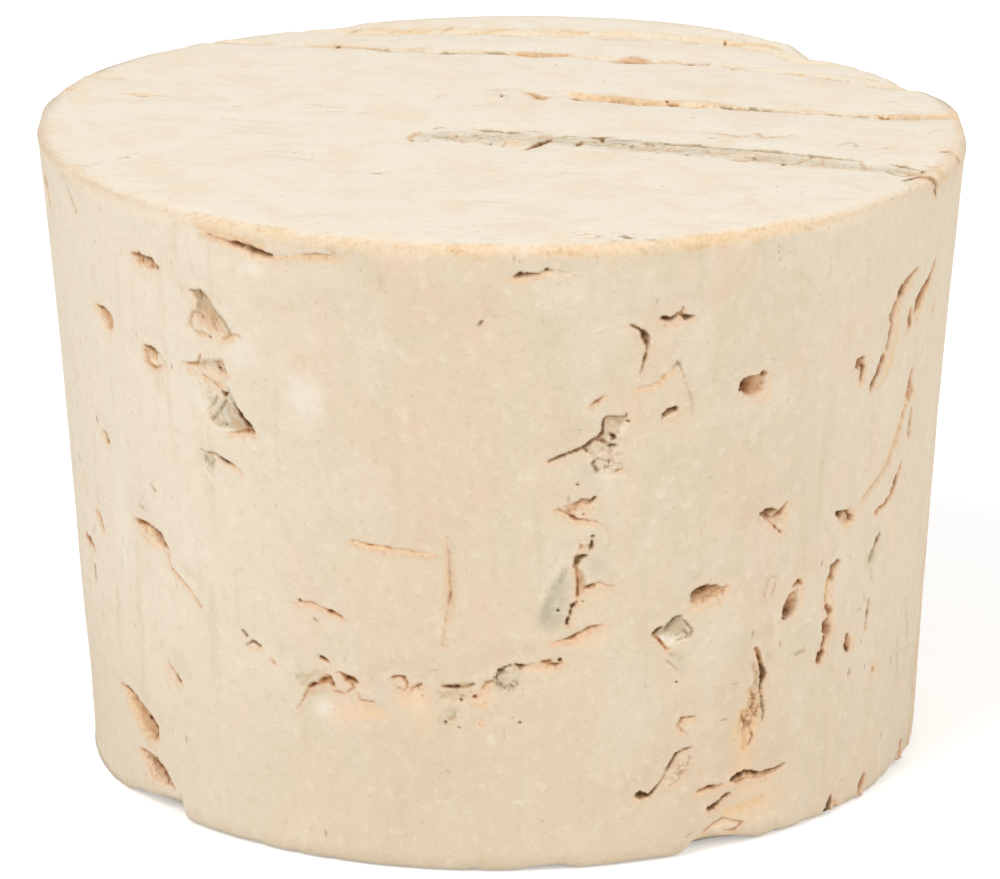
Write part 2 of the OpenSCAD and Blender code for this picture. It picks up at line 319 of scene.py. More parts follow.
@dataclass(frozen=True)
class OnSide:
    """Place on the side: angle in degrees, height, and a turn anticlockwise in degrees."""

    angle: float
    up: float
    turn: float = 0.0

    def local(self, spots: Spots) -> tuple[np.ndarray, np.ndarray]:
        """Millimetres to the right of the place and above it, in its own turned frame.

        Args:
            spots: points of the skin.
        Returns: offsets to the right and above.
        """
        gap = spots.turn - math.radians(self.angle)
        gap = (gap + math.pi) % (2 * math.pi) - math.pi
        return self.turned(gap * spots.r, spots.up - self.up)

    def turned(self, right: np.ndarray, above: np.ndarray) -> tuple[np.ndarray, np.ndarray]:
        """The same offsets seen in the turned frame."""
        c, s = math.cos(math.radians(self.turn)), math.sin(math.radians(self.turn))
        return right * c + above * s, above * c - right * s

    def heading(self, spots: Spots, degrees: float) -> np.ndarray:
        """Unit direction along the skin, at an angle from the frame's own right."""
        angle = math.radians(degrees + self.turn)
        return spots.right * math.cos(angle) + spots.upward * math.sin(angle)

    def offset(self, angle: float, up: float) -> tuple[float, float]:
        """Offset of another point on the side from this place, in an unturned frame."""
        radius = NARROW_RADIUS + FLARE * self.up / SIDE_HEIGHT
        return math.radians(angle - self.angle) * radius, up - self.up


@dataclass(frozen=True)
class OnTop:
    """Place on the wide end: x to the right, y to the back, and a turn in degrees."""

    x: float
    y: float
    turn: float = 0.0

    def local(self, spots: Spots) -> tuple[np.ndarray, np.ndarray]:
        """Millimetres from the place in its own turned frame; points off the end are far off.

        Args:
            spots: points of the skin.
        Returns: offsets to the right and above.
        """
        away = (1 - np.clip(spots.top * 4, 0, 1)) * FAR_OFF
        c, s = math.cos(math.radians(self.turn)), math.sin(math.radians(self.turn))
        right, back = spots.x - self.x, spots.y - self.y
        return right * c + back * s + away, back * c - right * s

    def heading(self, spots: Spots, degrees: float) -> np.ndarray:
        """Unit direction across the wide end."""
        angle = math.radians(degrees + self.turn)
        return np.tile([math.cos(angle), math.sin(angle), 0.0], (len(spots.x), 1))

    def offset(self, x: float, y: float) -> tuple[float, float]:
        """Offset of another point of the wide end from this place."""
        return x - self.x, y - self.y


# ---- linings: the colours inside an opening, from its lip to its bottom ---------


@dataclass(frozen=True)
class Lining:
    """Colours by depth, from 0 at the lip to 1 at the bottom, and of the halo round it; they darken towards
    the bottom, partly the lining's own brown and partly painted shade of the recess.
    """

    stops: tuple[tuple[float, tuple[float, float, float]], ...]
    halo: tuple[float, float, float]
    halo_share: float = 0.45

    def at(self, depth: np.ndarray) -> np.ndarray:
        """Colour at each depth, blended straight between the stops."""
        marks = [stop[0] for stop in self.stops]
        return np.stack([np.interp(depth, marks, [s[1][n] for s in self.stops]) for n in range(3)], 1)


class Lined(Enum):
    """The linings that the bark shows; their dark deep ends are partly painted shade."""

    RUST = Lining(
        (
            (0.0, tone(238, 212, 182)),
            (0.3, tone(225, 186, 148)),
            (0.6, tone(198, 153, 112)),
            (0.85, tone(154, 107, 65)),
            (1.0, tone(110, 68, 34)),
        ),
        tone(238, 204, 168),
        0.65,
    )
    PEACH = Lining(
        (
            (0.0, tone(240, 218, 190)),
            (0.5, tone(228, 196, 162)),
            (0.8, tone(196, 154, 116)),
            (1.0, tone(130, 88, 54)),
        ),
        tone(240, 208, 172),
        0.6,
    )
    DARK = Lining(
        (
            (0.0, tone(214, 186, 152)),
            (0.35, tone(174, 138, 102)),
            (0.7, tone(128, 94, 60)),
            (1.0, tone(90, 62, 34)),
        ),
        tone(236, 206, 174),
    )
    GREY = Lining(
        (
            (0.0, tone(226, 211, 184)),
            (0.45, tone(198, 180, 148)),
            (0.75, tone(158, 138, 106)),
            (1.0, tone(108, 88, 60)),
        ),
        tone(230, 217, 192),
        0.3,
    )
    OCHRE = Lining(
        (
            (0.0, tone(243, 218, 180)),
            (0.5, tone(238, 202, 156)),
            (0.8, tone(192, 138, 90)),
            (1.0, tone(106, 66, 34)),
        ),
        tone(243, 214, 174),
    )
    FAINT = Lining(
        (
            (0.0, tone(232, 212, 182)),
            (0.6, tone(218, 190, 156)),
            (1.0, tone(170, 132, 98)),
        ),
        tone(238, 216, 188),
        0.3,
    )
    PALE = Lining(
        (
            (0.0, tone(240, 227, 203)),
            (0.6, tone(233, 216, 190)),
            (1.0, tone(200, 180, 148)),
        ),
        tone(242, 232, 212),
        0.2,
    )


FRINGE = tone(235, 196, 158)


def laid(
    under: np.ndarray, held: np.ndarray, colour: np.ndarray, weight: np.ndarray
) -> tuple[np.ndarray, np.ndarray]:
    """Lays a colour over another, each with its own weight.

    Returns: the joint colour and its weight.

    Args:
        under: colours so far.
        held: weights so far.
        colour: linear colour, one for all or one for each point.
        weight: share from 0 to 1 at each point.
    """
    weight = np.clip(weight, 0, 1)
    total = weight + held * (1 - weight)
    share = np.where(total > 1e-6, weight / np.maximum(total, 1e-6), 0)[:, None]
    return colour * share + under * (1 - share), total


class Skin:
    """The skin while it is worked: depth, slip along the skin, and what is painted on it."""

    def __init__(self, spots: Spots) -> None:
        """Starts from the plain blank.

        Args:
            spots: points of the skin.
        """
        count = len(spots.x)
        self.spots = spots
        self.depth = np.zeros(count)
        self.slip = np.zeros((count, 3))
        self.paint = np.tile(tone(236, 216, 188), (count, 1)).astype(float)
        self.weight = np.zeros(count)
        self.tint = self.paint.copy()
        self.tinted = np.zeros(count)

    def sink(self, near: np.ndarray, depth: np.ndarray, slip: np.ndarray | float = 0.0) -> None:
        """Carves some points to a depth; the bottom slips along the skin.

        Where two features meet, the deeper holds and the other adds a quarter of its own depth.
        Args: near: point numbers; depth: in millimetres; slip: offsets along the skin.
        """
        held = self.depth[near]
        self.slip[near] = np.where((depth > held)[:, None], slip, self.slip[near])
        self.depth[near] = np.maximum(held, depth) + 0.25 * np.minimum(held, depth)

    def brush(self, near: np.ndarray, colour: np.ndarray | tuple, weight: np.ndarray) -> None:
        """Paints some points, with an edge that the finish makes ragged.

        Args:
            near: the points that are touched.
            colour: linear colour, one for all or one for each point.
            weight: share from 0 to 1 at each point.
        """
        self.paint[near], self.weight[near] = laid(
            self.paint[near], self.weight[near], np.asarray(colour), weight
        )

    def stain(self, near: np.ndarray, colour: np.ndarray | tuple, weight: np.ndarray) -> None:
        """Tints some points softly, under the finish's grain.

        Args:
            near: the points that are touched.
            colour: linear colour, one for all or one for each point.
            weight: share from 0 to 1 at each point.
        """
        self.tint[near], self.tinted[near] = laid(
            self.tint[near], self.tinted[near], np.asarray(colour), weight
        )

    def place(self) -> np.ndarray:
        """Finished places: the blank's, sunk along the normal and slipped."""
        return self.spots.place - self.spots.normal * self.depth[:, None] + self.slip


# ---- openings in the bark --------------------------------------------------------


@dataclass(frozen=True)
class Pore:
    """Oval or lens-shaped pore whose floor falls towards one side and runs in under it."""

    at: OnSide | OnTop
    length: float
    width: float
    lined: Lined = Lined.RUST
    depth: float = 0.6
    deep: float = 115.0
    point: float = 1.8
    floor: float = 0.35
    mesh: float = 0.12

    def gap(self, spots: Spots) -> np.ndarray:
        """Distance outside the outline, below 0 inside.

        The outline is where |p/a|^k + |q/b|^k is 1; the distance is that sum's k-th root less 1,
        over the length of its gradient.

        Args:
            spots: points of the skin.
        Returns: the distance at each point.
        """
        p, q = self.at.local(spots)
        a, b, k = self.length / 2, self.width / 2, self.point
        u, v = np.abs(p / a) + 1e-4, np.abs(q / b) + 1e-4
        e = (u**k + v**k) ** (1 / k)
        slope = e ** (1 - k) * np.hypot(u ** (k - 1) / a, v ** (k - 1) / b)
        return (e - 1) / slope

    def carve(self, skin: Skin) -> None:
        """Sinks the pore and lines it.

        Args:
            skin: the skin that is carved.
        """
        spots = skin.spots
        p, q = self.at.local(spots)
        angle = math.radians(self.deep)
        reach = math.hypot(self.length / 2 * math.cos(angle), self.width / 2 * math.sin(angle))
        fall = (p * math.cos(angle) + q * math.sin(angle)) / reach
        hollow(skin, self, self.gap(spots), fall, reach)


@dataclass(frozen=True)
class Cleft:
    """Hollow of any outline, given by points of the end or side, that is deepest to one side."""

    at: OnSide | OnTop
    points: tuple[tuple[float, float], ...]
    lined: Lined = Lined.RUST
    depth: float = 0.8
    deep: float = 90.0
    floor: float = 0.3
    mesh: float = 0.12

    def corners(self) -> np.ndarray:
        """Corners of the outline as offsets from the place."""
        return np.array([self.at.offset(*point) for point in self.points])

    def gap(self, spots: Spots) -> np.ndarray:
        """Distance to the nearest edge, below 0 inside, where a ray crosses an odd number.

        Args:
            spots: points of the skin.
        Returns: the distance at each point.
        """
        p, q = self.at.local(spots)
        near = np.full(len(p), 1e9)
        odd = np.zeros(len(p), bool)
        corners = self.corners()
        for a, b in zip(corners, np.roll(corners, -1, axis=0)):
            near = np.minimum(near, span_gap(p, q, a, b)[0])
            crosses = (a[1] > q) != (b[1] > q)
            rise = b[1] - a[1] if abs(b[1] - a[1]) > 1e-9 else 1e-9
            odd ^= crosses & (p < a[0] + (q - a[1]) / rise * (b[0] - a[0]))
        return np.where(odd, -near, near)

    def carve(self, skin: Skin) -> None:
        """Sinks the cleft and lines it.

        Args:
            skin: the skin that is carved.
        """
        spots = skin.spots
        p, q = self.at.local(spots)
        angle = math.radians(self.deep)
        ahead = self.corners() @ np.array([math.cos(angle), math.sin(angle)])
        middle, reach = (ahead.max() + ahead.min()) / 2, (ahead.max() - ahead.min()) / 2
        fall = (p * math.cos(angle) + q * math.sin(angle) - middle) / reach
        hollow(skin, self, self.gap(spots), fall, reach)


def span_gap(
    p: np.ndarray, q: np.ndarray, a: np.ndarray, b: np.ndarray
) -> tuple[np.ndarray, np.ndarray]:
    """Distance from points to the straight span a-b, and the share of the way along it.

    Args:
        p: offsets to the right.
        q: offsets upward.
        a: first end.
        b: last end.
    Returns: distance and share along the stretch.
    """
    run = b - a
    share = ((p - a[0]) * run[0] + (q - a[1]) * run[1]) / max(float(run @ run), 1e-9)
    share = np.clip(share, 0, 1)
    return np.hypot(p - a[0] - share * run[0], q - a[1] - share * run[1]), share


def hollow(
    skin: Skin, shape: Pore | Cleft, gap: np.ndarray, fall: np.ndarray, reach: float
) -> None:
    """Sinks a hollow that is deepest to one side, and lines it.

    The floor falls by the power 1.6 of the way across. The wall is steep on the deep side and
    drawn out on the other, so only the deep side is dark. Fine borders of crumbs cross the floor.
    The lining is painted darker where the hollow is deeper and along the crumb borders: partly
    its own brown, partly painted shade.
    Args: gap: distance outside the outline; fall: -1 to 1 across it; reach: half its span.
    """
    near = np.flatnonzero(gap < 1.0)
    if not len(near):
        return
    spots = skin.spots
    place = spots.place[near]
    rough = grain(place, 0.35, 13)
    ragged = gap[near] + 0.06 * grain(place, 0.5, 11) + 0.025 * grain(place, 0.18, 12, 1)
    across = np.clip((fall[near] + 1) / 2, 0, 1) ** 1.6
    wall = 0.1 + (1 - across) * min(0.35 * reach, 0.5)
    down = ease(-ragged / wall)
    lines = 1 - ease(crumble(place + 0.1 * rough[:, None], 0.6, 14)[0] / 0.22)
    drop = shape.floor + (1 - shape.floor) * across
    share = down * np.clip(drop + 0.14 * rough + 0.08 * lines, 0, 1.1)
    lining = shape.lined.value
    slip = shape.at.heading(spots, shape.deep)[near] * (0.2 * shape.depth * share * across)[:, None]
    skin.sink(near, shape.depth * share, slip)
    halo = np.exp(-np.clip(ragged, 0, None) / 0.24) * (ragged > -0.1) * (1 - 0.6 * across)
    skin.brush(near, lining.halo, lining.halo_share * halo * (0.7 + 0.5 * rough))
    # painted shade: the lining's colour darkens with depth and along the crumb borders, over its own brown
    depth = np.clip(1.32 * share * (1 + 0.2 * rough) + 0.2 * lines * down, 0, 1)
    inside = ease((0.03 - ragged) / 0.1) * (0.25 + 0.75 * ease(depth / 0.45))
    skin.brush(near, lining.at(depth), inside)


@dataclass(frozen=True)
class Crack:
    """Crack along a line of points, each with its width."""

    at: type
    points: tuple[tuple[float, float, float], ...]
    lined: Lined = Lined.RUST
    depth: float = 0.5
    mesh: float = 0.1
    lip: float = 0.5

    def start(self) -> OnSide | OnTop:
        """Place of the first point."""
        return self.at(self.points[0][0], self.points[0][1])

    def gap(self, spots: Spots) -> np.ndarray:
        """Distance outside the crack, below 0 inside it."""
        return self.measure(spots)[0]

    def measure(self, spots: Spots) -> tuple[np.ndarray, np.ndarray, np.ndarray]:
        """Distance outside the crack, its half width there, and how far a point is below it.

        Args:
            spots: points of the skin.
        Returns: the values at each point.
        """
        start = self.start()
        p, q = start.local(spots)
        gap = np.full(len(p), 1e9)
        half = np.full(len(p), 0.1)
        below = np.zeros(len(p))
        for first, last in zip(self.points[:-1], self.points[1:]):
            a, b = np.array(start.offset(*first[:2])), np.array(start.offset(*last[:2]))
            far, share = span_gap(p, q, a, b)
            width = (first[2] + (last[2] - first[2]) * share) / 2
            nearer = far - width < gap
            gap = np.where(nearer, far - width, gap)
            half = np.where(nearer, width, half)
            below = np.where(nearer, a[1] + share * (b[1] - a[1]) - q, below)
        return gap, half, below

    def carve(self, skin: Skin) -> None:
        """Opens the crack and lines it; the skin under it has a light fringe. The lining is darker in the
        middle and in wider cracks: partly its own colour, partly painted shade.

        Args:
            skin: the skin that is carved.
        """
        spots = skin.spots
        gap, half, below = self.measure(spots)
        near = np.flatnonzero(gap < 0.9)
        if not len(near):
            return
        place, half, below = spots.place[near], half[near], below[near]
        rough = grain(place, 0.35, 21)
        loose = np.clip(0.8 * half, 0.04, 0.13)
        ragged = gap[near] + loose * (grain(place, 0.42, 22) + 0.5 * grain(place, 0.16, 24, 1))
        fringe = np.exp(-(((ragged - 0.1) / 0.18) ** 2)) * ease(below / 0.12 + 0.5)
        skin.brush(near, FRINGE, self.lip * fringe * (0.85 + 0.4 * rough))
        wide = np.clip(half / 0.13, 0.35, 1)
        share = ease((0.05 - ragged) / (half + 0.08)) * np.clip(0.9 + 0.3 * rough, 0, 1)
        skin.sink(near, min(self.depth, 0.3) * share * wide)
        broken = 0.9 + 0.42 * grain(place, 0.55, 23)
        # painted shade: darker towards the middle and where the crack is wider, over the lining's own
        # colour
        index = (0.34 + 0.8 * share) * np.clip(wide, 0.66, 1) * broken
        colours = self.lined.value.at(np.clip(index, 0, 1))
        skin.brush(near, colours, ease((0.07 - ragged) / 0.12) * np.clip(half / 0.08, 0.6, 1))


@dataclass(frozen=True)
class Smear(Crack):
    """Ragged streak of colour along a line of points, each with its width, sunk a little."""

    colour: tuple[float, float, float] = tone(176, 150, 116)
    strength: float = 0.8
    depth: float = 0.06
    mesh: float = 0.2

    def carve(self, skin: Skin) -> None:
        """Paints the streak, broken here and there, and sinks it.

        Args:
            skin: the skin that is carved.
        """
        spots = skin.spots
        gap, half, _ = self.measure(spots)
        near = np.flatnonzero(gap < 0.9)
        if not len(near):
            return
        place, half = spots.place[near], half[near]
        ragged = gap[near] + 0.35 * half * grain(place, 0.6, 25) + 0.05 * grain(place, 0.22, 26, 1)
        share = ease((0.12 - ragged) / (half + 0.16))
        broken = ease((grain(place * [0.6, 1, 1], 0.7, 27) + 0.5) / 0.5)
        skin.brush(near, self.colour, self.strength * share * (0.45 + 0.55 * broken))
        skin.sink(near, self.depth * share * broken)


@dataclass(frozen=True)
class Crumbs:
    """Crumbled oval patch: raised crumbs with dark borders, some of them fallen out; the dark of the sunk
    borders and of the fallen crumbs' pits is partly bark brown, partly painted shade.
    """

    at: OnSide | OnTop
    length: float
    width: float
    depth: float = 0.3
    size: float = 0.5
    pale: tuple[float, float, float] = tone(238, 214, 182)
    dark: tuple[float, float, float] = tone(120, 92, 62)
    share: float = 0.5
    mesh: float = 0.13

    def gap(self, spots: Spots) -> np.ndarray:
        """Distance outside the oval, by its longer half axis."""
        p, q = self.at.local(spots)
        return (np.hypot(p / self.length * 2, q / self.width * 2) - 1) * self.width / 2

    def carve(self, skin: Skin) -> None:
        """Breaks the patch into crumbs; the dark borders come and go.

        Args:
            skin: the skin that is carved.
        """
        spots = skin.spots
        gap = self.gap(spots)
        near = np.flatnonzero(gap < 0.6)
        if not len(near):
            return
        place = spots.place[near]
        patch = ease((0.15 - gap[near] + 0.4 * grain(place, 0.8, 31)) / 0.6)
        inside, own = crumble(place + 0.14 * grain(place, 0.4, 32)[:, None], self.size, 33)
        fallen = own < self.share * 0.4
        open_here = ease((grain(place, 0.9, 34) + 0.35) / 0.6)
        border = (1 - ease(inside / 0.35)) * open_here
        pit = np.where(fallen, 0.7 * ease(inside / 0.6), 0.5 * border + 0.2 * own)
        skin.sink(near, self.depth * patch * pit)
        # painted shade: darker where the borders and the fallen crumbs' pits are sunk, over the bark's
        # brown
        dark = np.clip(border * (0.3 + own) + 0.55 * fallen * ease(inside / 0.5), 0, 1)
        shown = dark[:, None]
        colours = np.array(self.dark) * shown + np.array(self.pale) * (1 - shown)
        skin.brush(near, colours, patch * (0.3 + 0.6 * dark))


@dataclass(frozen=True)
class Stain:
    """Soft stain, painted only, with a cloudy edge."""

    at: OnSide | OnTop
    length: float
    width: float
    colour: tuple[float, float, float]
    strength: float = 0.5
    mesh: float = 0.6

    def gap(self, spots: Spots) -> np.ndarray:
        """Distance outside the oval, by its shorter half axis.

        Args:
            spots: points of the skin.
        Returns: the distance at each point.
        """
        p, q = self.at.local(spots)
        small = min(self.length, self.width) / 2
        return (np.hypot(p / self.length * 2, q / self.width * 2) - 1) * small

    def carve(self, skin: Skin) -> None:
        """Tints the skin; the stain fades out over its own width with a cloudy edge.

        Args:
            skin: the skin that is carved.
        """
        spots = skin.spots
        p, q = self.at.local(spots)
        far = np.hypot(p / self.length * 2, q / self.width * 2)
        near = np.flatnonzero(far < 1.9)
        if not len(near):
            return
        cloud = grain(spots.place[near], 0.5 * min(self.length, self.width) + 0.4, 41)
        skin.stain(near, self.colour, self.strength * ease((1.35 - far[near] + 0.45 * cloud) / 1.05))


@dataclass(frozen=True)
class GrowthLine:
    """Edge of a yearly layer: it crosses the wide end and runs down both flanks.

    The skin sinks slowly towards the line from the front and rises behind it. Points are x, the
    layer coordinate (y, moved back by the layers' lean on the way down), how open the line is,
    and how brown its foot is, both from 0 to 1. The brown at the foot lies in the crevice under
    the wall: partly the line's own colour, partly painted shade.
    """

    points: tuple[tuple[float, float, float, float], ...]
    drop: float = 0.3
    ramp: float = 1.6
    wall: float = 0.3
    cut: float = 0.12
    band: tuple[float, float, float] = tone(238, 204, 152)
    seed: int = 50
    flank: float = 0.5
    mesh: float = 0.16

    def measure(self, spots: Spots) -> tuple[np.ndarray, np.ndarray, np.ndarray]:
        """How far a point is behind the line, how open the line is there, and how brown.

        Args:
            spots: points of the skin.
        Returns: the values at each point.
        """
        xs, ys, opens, browns = (np.array([point[n] for point in self.points]) for n in range(4))
        line = np.interp(spots.x, xs, ys)
        openness = np.interp(spots.x, xs, opens, left=0, right=0)
        brown = np.interp(spots.x, xs, browns, left=0, right=0)
        across = np.stack([spots.x, spots.z * 0.5, np.zeros_like(spots.x)], 1)
        wobble = 0.12 * grain(across, 2.2, self.seed) + 0.05 * grain(across, 0.8, self.seed + 1)
        slant = ease((np.sin(spots.turn) - 0.45) / 0.3)
        on = spots.top + spots.side * slant * self.flank
        return spots.layer - line - wobble, openness * on, brown * on

    def gap(self, spots: Spots) -> np.ndarray:
        """Distance from the wall, far off where the line is closed.

        Args:
            spots: points of the skin.
        Returns: the distance at each point.
        """
        behind, openness, _ = self.measure(spots)
        slack = np.where(openness > 0.02, (0.5 - np.clip(openness, 0, 0.5)) * 0.8, 60.0)
        return np.abs(behind) - 0.15 + slack

    def carve(self, skin: Skin) -> None:
        """Sinks the ramp, the wall and the broken crevice at its foot, and paints the wall and, in the
        crevice, a brown that is partly painted shade.

        Args:
            skin: the skin that is carved.
        """
        spots = skin.spots
        behind, openness, brown = self.measure(spots)
        ahead = np.clip(-behind, 0, None)
        ramp = np.exp(-ahead / self.ramp) * (behind <= 0)
        wall = (1 - ease(behind / self.wall)) * (behind > 0)
        skin.depth += self.drop * openness * (ramp + wall)
        near = np.flatnonzero((np.abs(behind) < 1.2) & (openness + brown > 0.01))
        if not len(near):
            return
        place, behind = spots.place[near], behind[near]
        openness, brown = openness[near], brown[near]
        dashes = ease((grain(place * [0.5, 1, 1], 0.9, self.seed + 2) + 0.2) / 0.45)
        foot = np.exp(-(((behind + 0.02) / 0.15) ** 2)) * dashes
        skin.depth[near] += self.cut * foot * openness
        cloud = np.clip(0.75 + 0.45 * grain(place, 1.2, self.seed + 3), 0, 1)
        lit = ease((behind + 0.15) / 0.15) * ease((self.wall + 0.35 - behind) / 0.4)
        skin.brush(near, self.band, 0.8 * lit * openness * cloud)
        # painted shade: brown in the crevice at the wall's foot, partly the line's own colour
        skin.brush(near, tone(150, 104, 64), np.clip(foot * brown * 1.2, 0, 1))


@dataclass(frozen=True)
class Chip:
    """Shallow chip out of an edge, rounded inside: angle and height, and its two half axes."""

    at: OnSide
    length: float
    width: float
    depth: float = 0.4
    mesh: float = 0.2

    def gap(self, spots: Spots) -> np.ndarray:
        """Distance outside the oval, by its shorter half axis."""
        p, q = self.at.local(spots)
        return (np.hypot(p / self.length * 2, q / self.width * 2) - 1) * self.width / 2

    def carve(self, skin: Skin) -> None:
        """Sinks the chip: depth times 1 less the squared distance from its middle.

        Args:
            skin: the skin that is carved.
        """
        p, q = self.at.local(skin.spots)
        far = (p / self.length * 2) ** 2 + (q / self.width * 2) ** 2
        uneven = 1 + 0.35 * grain(skin.spots.place, 0.8, 61)
        skin.depth += self.depth * np.clip(1 - far * uneven, 0, 1) ** 0.7


# ---- what the bark shows ------------------------------------------------------------








RUST, PEACH, DARK, GREY, OCHRE, FAINT, PALE = Lined

CREAMY = tone(246, 222, 188)
CHALKY = tone(242, 231, 213)
MILKY = tone(219, 214, 198)
PEACHY = tone(240, 208, 174)
PINKISH = tone(234, 206, 178)
HONEY = tone(237, 203, 160)
STRAW = tone(230, 195, 149)
AMBER = tone(222, 176, 128)
UMBER = tone(204, 172, 134)
BROWN = tone(184, 144, 100)
# The next two are the dark of crumb borders and fallen crumbs: brown with painted shade.
RUSTY = tone(158, 112, 68)
SHADED_BROWN = tone(134, 104, 68)
BLUISH = tone(222, 208, 188)
GREYISH = tone(212, 200, 176)
KHAKI = tone(206, 193, 162)
SMOKY = tone(188, 179, 156)
ASHEN = tone(150, 138, 110)


def crack(lined: Lined, *points: tuple[float, float, float], **more: float) -> Crack:
    """Crack on the side; each point is angle, height and width."""
    return Crack(OnSide, points, lined, **more)


def streak(colour: tuple, strength: float, *points: tuple[float, float, float]) -> Smear:
    """Streak of colour on the side; each point is angle, height and width."""
    return Smear(OnSide, points, colour=colour, strength=strength)


def cleft(
    lined: Lined, depth: float, deep: float, floor: float, *points: tuple[float, float]
) -> Cleft:
    """Cleft on the side; each point of its outline is angle and height."""
    return Cleft(OnSide(*points[0]), points, lined=lined, depth=depth, deep=deep, floor=floor)


def dot(angle: float, up: float, size: float, lined: Lined = DARK) -> Pore:
    """Small round pit on the side."""
    return Pore(OnSide(angle, up, 20), size * 1.15, size, lined, size * 0.9, 110, 2, 0.6, 0.09)


def top_crack(lined: Lined, *points: tuple[float, float, float], **more: float) -> Crack:
    """Crack in the wide end; each point is x, y and width."""
    return Crack(OnTop, points, lined, **more)


def top_streak(colour: tuple, strength: float, *points: tuple[float, float, float]) -> Smear:
    """Streak of colour on the wide end; each point is x, y and width."""
    return Smear(OnTop, points, colour=colour, strength=strength)


def top_dot(x: float, y: float, length: float, width: float, lined: Lined) -> Pore:
    """Small oval pit in the wide end."""
    return Pore(OnTop(x, y), length, width, lined, 0.2, 90, 2, 0.6)


